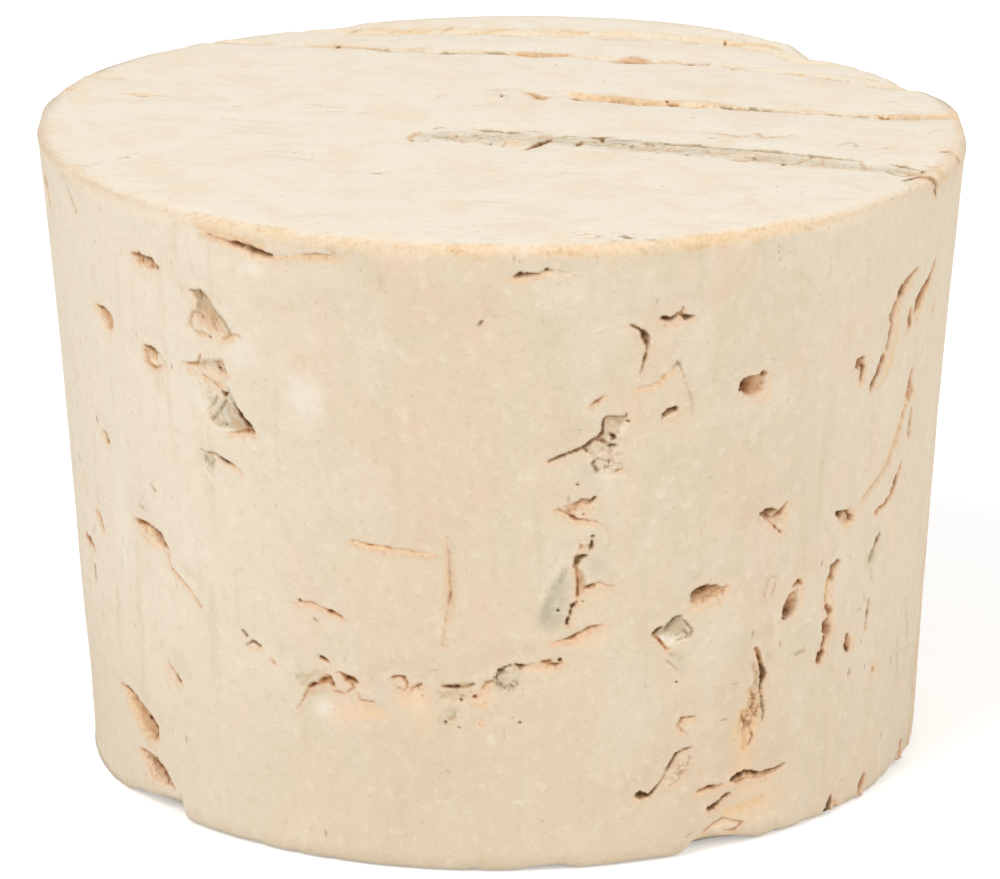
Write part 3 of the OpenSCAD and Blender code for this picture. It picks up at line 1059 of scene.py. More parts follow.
def left_flank() -> list:
    """Pores and splits between the left edge of sight and the two hollows.

    Returns: the marks.
    """
    return [
        # marks under the wide end, at the edge of sight
        crack(RUST, (-80.5, 36.1, 0.6), (-79.3, 35.6, 1.1), (-78.3, 35.1, 0.6)),
        streak(PEACHY, 0.8, (-80, 35.2, 0.9), (-78.6, 34.5, 0.9)),
        streak(KHAKI, 0.75, (-66.8, 37.1, 0.4), (-65.8, 36.5, 0.5)),
        crack(GREY, (-66.1, 36.8, 0.13), (-65, 36.2, 0.16), lip=0.1),
        dot(-64.6, 36, 0.24),
        # pores in the upper half
        cleft(
            PEACH, 0.5, 80, 0.2, (-51.3, 34.9), (-49.8, 35.1), (-48.4, 35.1), (-46.4, 34.8),
            (-46, 34.5), (-47.5, 34.2), (-49.1, 34.1), (-50.4, 34.3),
        ),
        crack(RUST, (-51.1, 34.9, 0.15), (-49.6, 35, 0.3), (-49.4, 34.6, 0.3), lip=0.1),
        crack(DARK, (-48.8, 35, 0.15), (-47.2, 34.9, 0.25), (-46.3, 34.6, 0.45), lip=0.1),
        cleft(
            RUST, 0.8, 35, 0.12, (-61.6, 30.7), (-59.3, 30.9), (-58, 30.7), (-57, 30.4),
            (-56.8, 30.1), (-57.4, 29.7), (-58.4, 29.1), (-59.2, 29.7), (-61, 30.3),
        ),
        crack(RUST, (-61, 30.7, 0.2), (-59.2, 30.6, 0.5), (-57.8, 30.2, 0.5), (-57.6, 29.8, 0.3)),
        crack(DARK, (-58.6, 30.7, 0.15), (-57.3, 30.4, 0.3), (-57.1, 30, 0.2), lip=0.1),
        streak(CREAMY, 0.9, (-60.4, 30.1, 0.35), (-59.5, 29.6, 0.5), (-58.8, 29.2, 0.3)),
        cleft(
            PEACH, 0.6, 60, 0.15, (-50.2, 29.5), (-48.8, 29.6), (-47.5, 29.3), (-47.7, 28.8),
            (-47.1, 28.5), (-48.6, 28.2), (-49.7, 28.4), (-50.3, 28.9),
        ),
        crack(RUST, (-50.1, 29.5, 0.2), (-48.8, 29.3, 0.55), (-48.3, 28.9, 0.3), lip=0.1),
        dot(-48.1, 29.4, 0.26),
        crack(RUST, (-50.2, 29.2, 0.15), (-49.5, 28.4, 0.18), (-48.2, 28.3, 0.18), (-46.9, 28.6, 0.12)),
        streak(CREAMY, 0.9, (-49.4, 28.6, 0.3), (-48, 28.6, 0.35)),
        crack(FAINT, (-47.3, 29.3, 0.12), (-45.9, 28.5, 0.1), lip=0.2),
        # small marks down the flank
        crack(RUST, (-62.6, 22.8, 0.15), (-61.7, 22.6, 0.35), (-61.3, 22.3, 0.3)),
        streak(PEACHY, 0.85, (-62.9, 22.5, 0.5), (-62.2, 22, 0.4)),
        crack(FAINT, (-72.8, 18.9, 0.2), (-71.2, 17.8, 0.2), lip=0.3),
        crack(RUST, (-67.9, 17.2, 0.17), (-66.6, 17, 0.3), (-65.6, 16.4, 0.2), lip=0.9),
        streak(PEACHY, 0.9, (-68, 16.8, 0.4), (-66.4, 16.1, 0.5)),
        crack(RUST, (-74.6, 14.6, 0.3), (-72.6, 14.7, 0.5), (-70.6, 14.5, 0.4)),
        streak(PEACHY, 0.9, (-73, 13.9, 0.5), (-72.2, 13.3, 0.5)),
        crack(GREY, (-71, 13.2, 0.3), (-71.1, 12.5, 0.35), lip=0.4),
        crack(GREY, (-51.3, 20.9, 0.1), (-50.5, 20.6, 0.2), lip=0.1),
        crack(GREY, (-54.5, 19.3, 0.1), (-53.3, 19.1, 0.14), lip=0.1),
        streak(KHAKI, 0.45, (-62.3, 12.9, 0.3), (-63.4, 9.6, 0.3)),
        Stain(OnSide(-53.8, 18.4), 3, 8, BLUISH, 0.3),
        Stain(OnSide(-58.8, 17.1), 1.8, 8, CHALKY, 0.5),
        dot(-68.6, 10.5, 0.18, GREY),
        crack(FAINT, (-58.2, 11.3, 0.1), (-57.2, 11.1, 0.12), lip=0.2),
        # hollow with a dark right half, and the crack that leaves it
        cleft(
            RUST, 0.7, 60, 0.25, (-55.7, 18.3), (-53.8, 18.4), (-51.7, 18.3), (-49.7, 18),
            (-48.4, 17.1), (-50.2, 17.1), (-52.3, 17.2), (-54.3, 17.6),
        ),
        crack(RUST, (-55.5, 18.2, 0.16), (-53.6, 18.1, 0.4), (-51.7, 18, 0.3), lip=0.1),
        crack(DARK, (-52, 18.1, 0.2), (-50.8, 17.8, 0.55), (-49.6, 17.4, 0.4), (-48.5, 17.2, 0.15)),
        streak(CREAMY, 0.85, (-53.3, 17.9, 0.25), (-51.7, 17.3, 0.4), (-50.2, 17.1, 0.2)),
        streak(PEACHY, 0.75, (-54.6, 17.5, 0.3), (-52.4, 17, 0.4), (-50.3, 16.9, 0.3)),
        crack(
            RUST, (-48.5, 16.8, 0.1), (-48.3, 16.2, 0.12), (-46, 15.5, 0.13), (-44.2, 15, 0.12),
            (-42.7, 14.2, 0.11), depth=0.15,
        ),
        # brown crack and crumbs low on the flank
        crack(RUST, (-50.4, 10, 0.1), (-49, 9.5, 0.18), (-47.9, 9, 0.3), lip=0.3),
        streak(PEACHY, 0.9, (-51.2, 9.4, 0.35), (-50, 9, 0.55), (-48.6, 8.6, 0.4)),
        Stain(OnSide(-47, 10.2), 1.9, 1.9, BLUISH, 0.6),
        crack(GREY, (-35.8, 13.4, 0.2), (-35.2, 13.2, 0.25), lip=0.1),
        crack(DARK, (-35.3, 12.6, 0.1), (-34.2, 12.9, 0.2), (-33.1, 12.7, 0.18), lip=0.1),
        streak(PEACHY, 0.85, (-34.9, 12.4, 0.35), (-33.6, 12.4, 0.45), (-32.6, 12.5, 0.25)),
        crack(RUST, (-31.5, 12.1, 0.1), (-31, 11.8, 0.14), lip=0.3),
        dot(-34.4, 11.1, 0.12, OCHRE),
        streak(CHALKY, 0.55, (-40, 13.2, 0.45), (-37.7, 12.7, 0.45)),
        # rust-brown split above the lower edge, and the pale hollow under it
        cleft(
            RUST, 0.9, 45, 0.25, (-64, 6.9), (-61.7, 6.9), (-59.7, 6.7), (-56.3, 6.2), (-54.9, 5.9),
            (-53.6, 5.4), (-53.7, 4.4), (-58.1, 4.3), (-59.2, 4.9), (-62.7, 6.2),
        ),
        crack(RUST, (-63.7, 6.8, 0.15), (-61.5, 6.8, 0.4), (-59.5, 6.5, 0.45), (-57.6, 6.2, 0.4)),
        crack(DARK, (-57.9, 6.1, 0.2), (-56.4, 5.9, 0.5), (-55, 5.5, 0.75), (-54.1, 4.8, 0.35)),
        crack(RUST, (-57.1, 5.4, 0.3), (-55.9, 5.1, 0.45), (-54.7, 4.7, 0.4), (-56.4, 4.4, 0.12)),
        streak(HONEY, 0.85, (-62, 6.2, 0.3), (-60.7, 5.8, 0.7), (-59.2, 5.1, 0.85), (-57.7, 4.6, 0.5)),
        streak(HONEY, 0.8, (-56.7, 4.5, 0.2), (-55.7, 4.5, 0.3)),
        cleft(
            PEACH, 0.4, 60, 0.2, (-59, 3.3), (-57, 3.4), (-55.2, 3.3), (-53.7, 3.2), (-52.4, 2.7),
            (-50.8, 1.8), (-52.8, 1.4), (-55.7, 1.2), (-57.1, 1.6), (-58.3, 2.5),
        ),
        crack(RUST, (-58.9, 3.3, 0.16), (-56.5, 3.3, 0.25), (-54.3, 3.3, 0.16), lip=0.2),
        crack(RUST, (-53.3, 3, 0.2), (-52.2, 2.6, 0.25), (-50.7, 1.8, 0.17), lip=0.2),
        streak(PEACHY, 0.9, (-57, 2.7, 0.45), (-55.5, 2.3, 0.8), (-54.2, 1.8, 0.8)),
        streak(PEACHY, 0.85, (-56, 4, 0.3), (-54.5, 3.8, 0.3)),
    ]


def hollows() -> list:
    """The two crumbled hollows on the left, and the torn crumbs under them.

    Returns: the marks.
    """
    return [
        # three-cornered hollow with a lacy upper half
        cleft(
            PEACH, 0.25, 60, 0.12, (-41.1, 33.7), (-39.1, 33.9), (-38.1, 33.5), (-36.1, 32.2),
            (-34.9, 31.6), (-34.9, 31.2), (-37.1, 31), (-40.2, 31.3), (-41, 31.7), (-40.1, 33.2),
        ),
        streak(UMBER, 0.85, (-39.7, 33.5, 0.4), (-39, 33.1, 0.7), (-38.1, 32.7, 0.8)),
        streak(
            BROWN, 0.85, (-38.6, 33.7, 0.2), (-37.3, 32.9, 0.4), (-35.8, 32.2, 0.35),
            (-35, 31.7, 0.2),
        ),
        crack(GREY, (-41.1, 33.7, 0.11), (-40.2, 33.7, 0.17), (-39, 33.9, 0.11), lip=0.1),
        crack(GREY, (-40.1, 33.6, 0.12), (-39.6, 33.2, 0.16), (-40, 32.5, 0.11), lip=0.1),
        crack(GREY, (-39.1, 33.7, 0.13), (-38.8, 33.1, 0.17), (-39.1, 32.5, 0.12), lip=0.1),
        crack(GREY, (-38.4, 33.4, 0.13), (-38.3, 32.9, 0.17), (-37.8, 32.6, 0.14), lip=0.1),
        crack(GREY, (-39.7, 33.2, 0.12), (-38.1, 33.3, 0.12), lip=0.1),
        crack(GREY, (-40.9, 32.3, 0.12), (-39.4, 32.6, 0.14), (-37.9, 32.9, 0.11), lip=0.1),
        crack(GREY, (-37.8, 33.2, 0.12), (-36.5, 32.5, 0.17), (-35.3, 31.8, 0.15), (-34.9, 31.4, 0.11)),
        streak(
            UMBER, 0.9, (-40.5, 32.5, 0.2), (-41.3, 31.7, 0.3), (-40.4, 31.3, 0.2),
            (-38.8, 31.2, 0.15),
        ),
        dot(-38.1, 31.1, 0.3, GREY),
        crack(RUST, (-39.4, 31.4, 0.11), (-38.4, 31.2, 0.11), lip=0.3),
        crack(RUST, (-36.1, 31.2, 0.14), (-35.4, 31.3, 0.17), (-34.8, 31.5, 0.13), (-33.8, 31.6, 0.1)),
        # the larger hollow under it, deepest at its lower right corner
        cleft(
            PALE, 0.3, -40, 0.15, (-43, 29.2), (-40.6, 29.2), (-39.5, 29.8), (-36.5, 30.1), (-36, 29.2),
            (-35.6, 28), (-34.6, 27.1), (-32.6, 26), (-33.9, 25.8), (-35.8, 25.6), (-38.5, 25.5),
            (-39.9, 26), (-40.2, 27.2), (-41.7, 28), (-42.8, 28.5),
        ),
        streak(PEACHY, 0.9, (-38.9, 29, 0.65), (-37.8, 28.7, 0.8), (-36.8, 28.3, 0.7)),
        streak(PEACHY, 0.75, (-42.1, 28.8, 0.5), (-40.2, 28.7, 0.5), (-39.3, 28.4, 0.4)),
        streak(MILKY, 0.9, (-38, 27.4, 0.75), (-37.3, 26.9, 1.1), (-36.6, 26.2, 0.9)),
        streak(CHALKY, 0.7, (-41.1, 27.6, 1.1), (-39.9, 26.8, 1.2)),
        streak(BROWN, 0.9, (-40.5, 29.2, 0.15), (-39.4, 29.5, 0.4), (-36.7, 29.7, 0.5)),
        streak(ASHEN, 0.9, (-35.7, 28.2, 0.16), (-35.4, 27.7, 0.35), (-34, 26.6, 0.3)),
        crack(RUST, (-42.9, 29.2, 0.11), (-40.5, 29.3, 0.22), (-39.9, 30, 0.11), lip=0.3),
        crack(RUST, (-37.2, 29.5, 0.2), (-36.8, 29.2, 0.27), (-36.1, 29.2, 0.11)),
        crack(RUST, (-36.5, 29.8, 0.11), (-36, 29.1, 0.13), lip=0.2),
        dot(-37, 29.3, 0.27),
        crack(RUST, (-39.8, 28.7, 0.11), (-38.4, 28.5, 0.12), (-37.1, 28.1, 0.14), lip=0.3),
        crack(DARK, (-37, 28, 0.11), (-36.4, 27.8, 0.24), (-35.7, 28, 0.11), lip=0.1),
        crack(GREY, (-36.3, 27.5, 0.14), (-37.2, 26.9, 0.24), (-38.7, 26.1, 0.18), lip=0.1),
        crack(GREY, (-37.8, 27.5, 0.12), (-38.3, 27.1, 0.2), (-39.5, 26.6, 0.11), lip=0.1),
        dot(-36.6, 25.9, 0.21, GREY),
        crack(RUST, (-35.8, 26.4, 0.11), (-34.9, 26.2, 0.16), (-34.7, 25.9, 0.11), lip=0.2),
        crack(
            DARK, (-35.1, 27.3, 0.2), (-33.8, 26.5, 0.4), (-33.1, 26.1, 0.65), (-32.3, 25.8, 0.2),
            depth=0.6, lip=0.1,
        ),
        crack(RUST, (-32.6, 25.9, 0.33), (-33.8, 25.8, 0.3), (-35.9, 25.5, 0.13)),
        streak(PEACHY, 0.75, (-36.6, 25.4, 0.2), (-34.1, 25.5, 0.25), (-31.6, 25.6, 0.13)),
        # torn crumbs
        streak(SMOKY, 0.9, (-40.3, 23.8, 0.3), (-39.5, 23.5, 0.6), (-39.1, 23.2, 0.3)),
        crack(GREY, (-41.1, 24.1, 0.11), (-39.6, 24, 0.17), (-38.3, 24, 0.28), lip=0.1),
        crack(GREY, (-40.1, 23.7, 0.18), (-40.4, 23.4, 0.12), (-39.7, 23.4, 0.11), lip=0.1),
        crack(GREY, (-39.3, 23.9, 0.13), (-38.8, 23.6, 0.17), (-39.2, 23.3, 0.11), lip=0.1),
        crack(DARK, (-38.3, 24, 0.16), (-37.4, 23.8, 0.18), (-36.6, 23.7, 0.3), (-35.9, 23.6, 0.12)),
        crack(RUST, (-35.9, 23.6, 0.11), (-34.7, 23.3, 0.11)),
        dot(-37.9, 23.1, 0.15, GREY),
        streak(CREAMY, 0.9, (-37.6, 23.4, 0.27), (-36.3, 23.4, 0.33), (-35.1, 23.3, 0.2)),
        streak(CHALKY, 0.9, (-40.8, 23, 0.23), (-39.4, 22.4, 0.3), (-37.7, 22.6, 0.15)),
        Stain(OnSide(-33.4, 30.8), 2.4, 3.4, CHALKY, 0.5),
    ]


def under_rim() -> list:
    """The long dark crack under the front rim, and the ochre marks beside it.

    Returns: the marks.
    """
    return [
        streak(
            HONEY, 0.95, (-38.9, 37.7, 0.35), (-36.2, 37.5, 0.6), (-32.7, 37.4, 0.7),
            (-29.4, 37.2, 0.55),
        ),
        crack(
            RUST, (-37.9, 37.4, 0.11), (-35.5, 37.2, 0.15), (-33.5, 37.1, 0.25), (-31.6, 37, 0.42),
            (-30.6, 36.8, 0.46), (-28.5, 36.7, 0.34), (-28.1, 36.7, 0.14), lip=0.9,
        ),
        crack(DARK, (-32.5, 37.1, 0.11), (-30.8, 36.8, 0.26), (-28.6, 36.7, 0.14), lip=0.1),
        streak(
            CREAMY, 0.9, (-35.1, 36.9, 0.2), (-32.8, 36.7, 0.33), (-30.9, 36.4, 0.33),
            (-28.4, 36.4, 0.2),
        ),
        Stain(OnSide(-31, 35.7), 1.6, 1, CHALKY, 0.9),
        crack(OCHRE, (-27, 36.7, 0.1), (-24, 37, 0.11), lip=0.6),
        crack(RUST, (-24.1, 37, 0.1), (-22.6, 37.1, 0.13), (-21.8, 37.1, 0.1)),
        crack(RUST, (-22.1, 37.1, 0.1), (-20.4, 37.1, 0.13)),
        streak(
            HONEY, 0.9, (-24.8, 36.8, 0.2), (-22.5, 36.8, 0.4), (-19.8, 36.9, 0.5),
            (-18.8, 37.1, 0.3),
        ),
        streak(UMBER, 0.75, (-21, 37.5, 0.25), (-20.4, 37.4, 0.45), (-20, 37.2, 0.25)),
        streak(UMBER, 0.85, (-6, 37.9, 0.26), (-5.6, 37.8, 0.45), (-5, 37.7, 0.26)),
        crack(RUST, (-5.2, 37.7, 0.11), (-4.5, 37.7, 0.12), lip=0.2),
        streak(HONEY, 0.85, (-2, 37.9, 0.25), (-1.3, 37.8, 0.4)),
        streak(AMBER, 0.7, (4.3, 37.7, 0.26), (6.1, 37.6, 0.4), (8, 37.6, 0.4), (10.1, 37.7, 0.26)),
        Stain(OnSide(-14.5, 35.8), 0.5, 0.9, UMBER, 0.5),
        Stain(OnSide(-8.5, 35.7), 0.5, 0.5, KHAKI, 0.7),
        Stain(OnSide(-2.2, 35.8), 0.6, 0.6, KHAKI, 0.7),
        dot(-16.9, 36.4, 0.15, GREY),
        dot(-29.9, 32.9, 0.18, GREY),
        dot(-21.4, 33.4, 0.14, GREY),
        crack(GREY, (-3.1, 33.3, 0.11), (-2.8, 33.5, 0.2), (-2.4, 33.7, 0.11), lip=0.1),
        streak(KHAKI, 0.6, (-2.3, 33.9, 0.25), (-1.6, 34.2, 0.33), (-1.1, 34, 0.25)),
        # dark crack right of the middle
        crack(RUST, (1.1, 36.2, 0.2), (1.7, 36.3, 0.26), lip=0.6),
        crack(DARK, (1.4, 36.3, 0.18), (2.6, 36.4, 0.34), (4.3, 36.4, 0.11), lip=0.8),
        crack(RUST, (3.8, 36.4, 0.11), (4.5, 36.5, 0.12), (5.2, 36.6, 0.26)),
        dot(5, 36.6, 0.27),
        crack(GREY, (5.3, 36.6, 0.1), (7.8, 36.4, 0.1), lip=0.1),
        streak(CREAMY, 0.95, (5.3, 36.3, 0.2), (6.6, 36.2, 0.4), (8.1, 36.3, 0.25)),
        streak(PEACHY, 0.85, (1.1, 36.1, 0.16), (2.6, 36.1, 0.22), (4, 36.1, 0.13)),
    ]


def front_run() -> list:
    """Thin cracks on the front, and the crumbled run across it under them.

    Returns: the marks.
    """
    return [
        # thin cracks
        crack(OCHRE, (-19.2, 20.1, 0.14), (-17, 19.9, 0.2), (-13, 19.8, 0.12), (-9, 19.6, 0.1), lip=0.9),
        crack(
            RUST, (-26.8, 15.9, 0.26), (-25, 16, 0.14), (-24, 15.8, 0.12), (-22.4, 15.6, 0.28),
            (-21, 15.3, 0.16), lip=0.8,
        ),
        dot(-26.8, 16, 0.24),
        crack(GREY, (-24.9, 15, 0.18), (-24.2, 14.8, 0.14)),
        crack(
            FAINT, (-7, 20.7, 0.12), (-6.8, 19, 0.14), (-6.7, 17.5, 0.16), (-7.5, 15.3, 0.13),
            (-7.8, 14, 0.1),
        ),
        crack(RUST, (-6.8, 18.2, 0.12), (-6.7, 17.2, 0.16), (-7, 16.6, 0.11), depth=0.2, lip=0.3),
        crack(
            RUST, (6.3, 14.2, 0.1), (8.2, 14.4, 0.18), (9.5, 14.7, 0.25), (11, 15, 0.18),
            (12.6, 15.1, 0.08), lip=1,
        ),
        # broken arch and wedge at the left of the run
        streak(GREYISH, 0.55, (-27.4, 12, 0.35), (-26.7, 12.2, 0.35)),
        streak(ASHEN, 0.8, (-27.7, 11.2, 0.27), (-27.1, 11.4, 0.2)),
        streak(
            UMBER, 0.6, (-27.1, 10.8, 0.5), (-26.1, 11.3, 0.65), (-24.5, 11.7, 0.65),
            (-22.8, 11.9, 0.5),
        ),
        streak(UMBER, 0.5, (-26.3, 10.3, 0.5), (-24.3, 10.6, 0.6), (-22.3, 11, 0.5)),
        crack(RUST, (-24.1, 12.7, 0.25), (-23.3, 12.5, 0.3), (-22.8, 12.3, 0.12), lip=0.2),
        crack(RUST, (-27.8, 9.3, 0.1), (-26.8, 10, 0.14), (-26, 10.7, 0.18), lip=0.3),
        crack(
            RUST, (-26, 10.7, 0.17), (-24.8, 11, 0.32), (-23.8, 11.3, 0.46), (-23, 11.4, 0.5),
            (-22.5, 11, 0.22), lip=0.4,
        ),
        crack(RUST, (-21.6, 11.9, 0.12), (-20.6, 11.6, 0.42), (-19.6, 11.4, 0.43), (-19, 11.4, 0.2)),
        crack(
            RUST, (-20, 11.3, 0.22), (-19.7, 11, 0.17), (-21, 10.6, 0.11), (-22.5, 10.7, 0.11),
            lip=0.3,
        ),
        crack(RUST, (-19, 10.7, 0.1), (-18.9, 10.3, 0.14), (-17, 10.3, 0.1)),
        streak(KHAKI, 0.55, (-20.4, 13.2, 0.2), (-20.8, 12.6, 0.2)),
        Stain(OnSide(-23.6, 9.4), 1.6, 1.6, CHALKY, 0.8),
        Stain(OnSide(-20.2, 9.5), 2.4, 1.4, PEACHY, 0.7),
        Stain(OnSide(-17.3, 9.6), 2.2, 0.8, HONEY, 0.8),
        # ring of crumbs
        streak(CREAMY, 0.85, (-13.6, 11.6, 0.4), (-13.1, 11.6, 0.35)),
        crack(
            RUST, (-14.3, 11.9, 0.17), (-13.6, 12, 0.22), (-12.9, 11.9, 0.24), (-12.5, 11.6, 0.21),
            (-12.8, 11.2, 0.17), (-13.8, 11.3, 0.11), lip=0.4,
        ),
        crack(RUST, (-12.1, 11.3, 0.14), (-11.4, 11.4, 0.2), (-10.7, 11.6, 0.14), lip=0.7),
        Crumbs(OnSide(-11.6, 11, 5), 1.9, 1.1, 0.14, 0.34, CREAMY, RUSTY, 0.6),
        Stain(OnSide(-12.3, 10.9), 2.6, 1.6, PEACHY, 0.8),
        Stain(OnSide(-15.5, 11.1), 1.6, 2.2, BLUISH, 0.5),
        # the run itself, from its dark bar to its right end
        streak(UMBER, 0.9, (-7.9, 11.6, 0.2), (-6.2, 11.6, 0.35), (-4.1, 11.7, 0.16)),
        streak(UMBER, 0.6, (-8.2, 11.1, 0.35), (-6.7, 10.8, 0.65), (-5.3, 11.1, 0.45)),
        crack(
            DARK, (-8, 11.5, 0.14), (-6.5, 11.5, 0.32), (-4.9, 11.5, 0.14), (-3.9, 11.7, 0.14),
            lip=0.3,
        ),
        streak(BROWN, 0.6, (-7.3, 11.1, 0.35), (-5.5, 11.2, 0.35)),
        Crumbs(OnSide(-6.7, 10.9), 1.9, 1.2, 0.16, 0.3, CREAMY, SHADED_BROWN, 0.6),
        Crumbs(OnSide(-6.9, 9.6, 70), 2, 1, 0.14, 0.32, KHAKI, SHADED_BROWN, 0.6),
        dot(-5.5, 10.7, 0.3),
        dot(-3.7, 10.9, 0.32, RUST),
        dot(-7.6, 9.3, 0.3),
        dot(-6.6, 9.5, 0.2, RUST),
        dot(-7, 10.3, 0.18, GREY),
        dot(-5.8, 9, 0.2, GREY),
        streak(HONEY, 0.85, (-3.9, 10.4, 0.4), (-2.6, 10.4, 0.45)),
        streak(HONEY, 0.6, (-3.5, 9.3, 0.4), (-2.9, 9.3, 0.45)),
        dot(-3.2, 9.2, 0.18, RUST),
        Stain(OnSide(-2.3, 10.9), 1.6, 1.2, PEACHY, 0.8),
        Stain(OnSide(-10.3, 9.6), 1.6, 2.4, PEACHY, 0.5),
        crack(RUST, (-3, 11.3, 0.1), (-2.3, 11.8, 0.2), (-1.6, 11.9, 0.17), lip=0.8),
        crack(GREY, (-1.6, 11.9, 0.14), (-0.5, 12.4, 0.36), (0, 12.7, 0.3), (0.8, 12.9, 0.2), lip=0.1),
        dot(-0.5, 12.5, 0.36),
        crack(DARK, (1.4, 12.9, 0.16), (2, 12.8, 0.34), (2.5, 12.8, 0.14), lip=0.2),
        crack(GREY, (2.5, 12.8, 0.1), (4.2, 13, 0.13), lip=0.4),
        crack(RUST, (4.2, 13, 0.11), (5.4, 13, 0.34), (5.9, 13.1, 0.14), lip=0.7),
        dot(7.1, 13.1, 0.27),
        crack(RUST, (5.4, 12.8, 0.2), (6.4, 12.8, 0.25), (7.4, 12.9, 0.14), lip=0.8),
        streak(PEACHY, 0.85, (3, 12.6, 0.4), (4.6, 12.6, 0.5), (6.5, 12.5, 0.45)),
        Crumbs(OnSide(0.5, 11.8, 30), 2, 1.8, 0.18, 0.3, KHAKI, SHADED_BROWN, 0.6),
        Crumbs(OnSide(1.6, 11.2, 40), 1.6, 1.2, 0.14, 0.3, CREAMY, SHADED_BROWN, 0.5),
        dot(0.2, 10.3, 0.17, GREY),
        dot(1, 9.6, 0.18, GREY),
        dot(2, 9.3, 0.24, GREY),
        # broad tints of the front
        Stain(OnSide(-24.5, 28.2), 2.4, 3.4, CHALKY, 0.75),
        Stain(OnSide(-25, 30.8), 2, 1.4, PINKISH, 0.5),
        Stain(OnSide(-6.8, 18), 0.8, 4.4, UMBER, 0.35),
        Stain(OnSide(-14.3, 30.4), 0.6, 2, GREYISH, 0.4),
        Stain(OnSide(-10, 28.5), 2.6, 5.5, PINKISH, 0.45),
        Stain(OnSide(1, 31), 2, 2.6, PINKISH, 0.4),
        Stain(OnSide(-14, 16), 9, 9, PINKISH, 0.3),
        Stain(OnSide(-15, 25), 5, 9, PINKISH, 0.25),
    ]


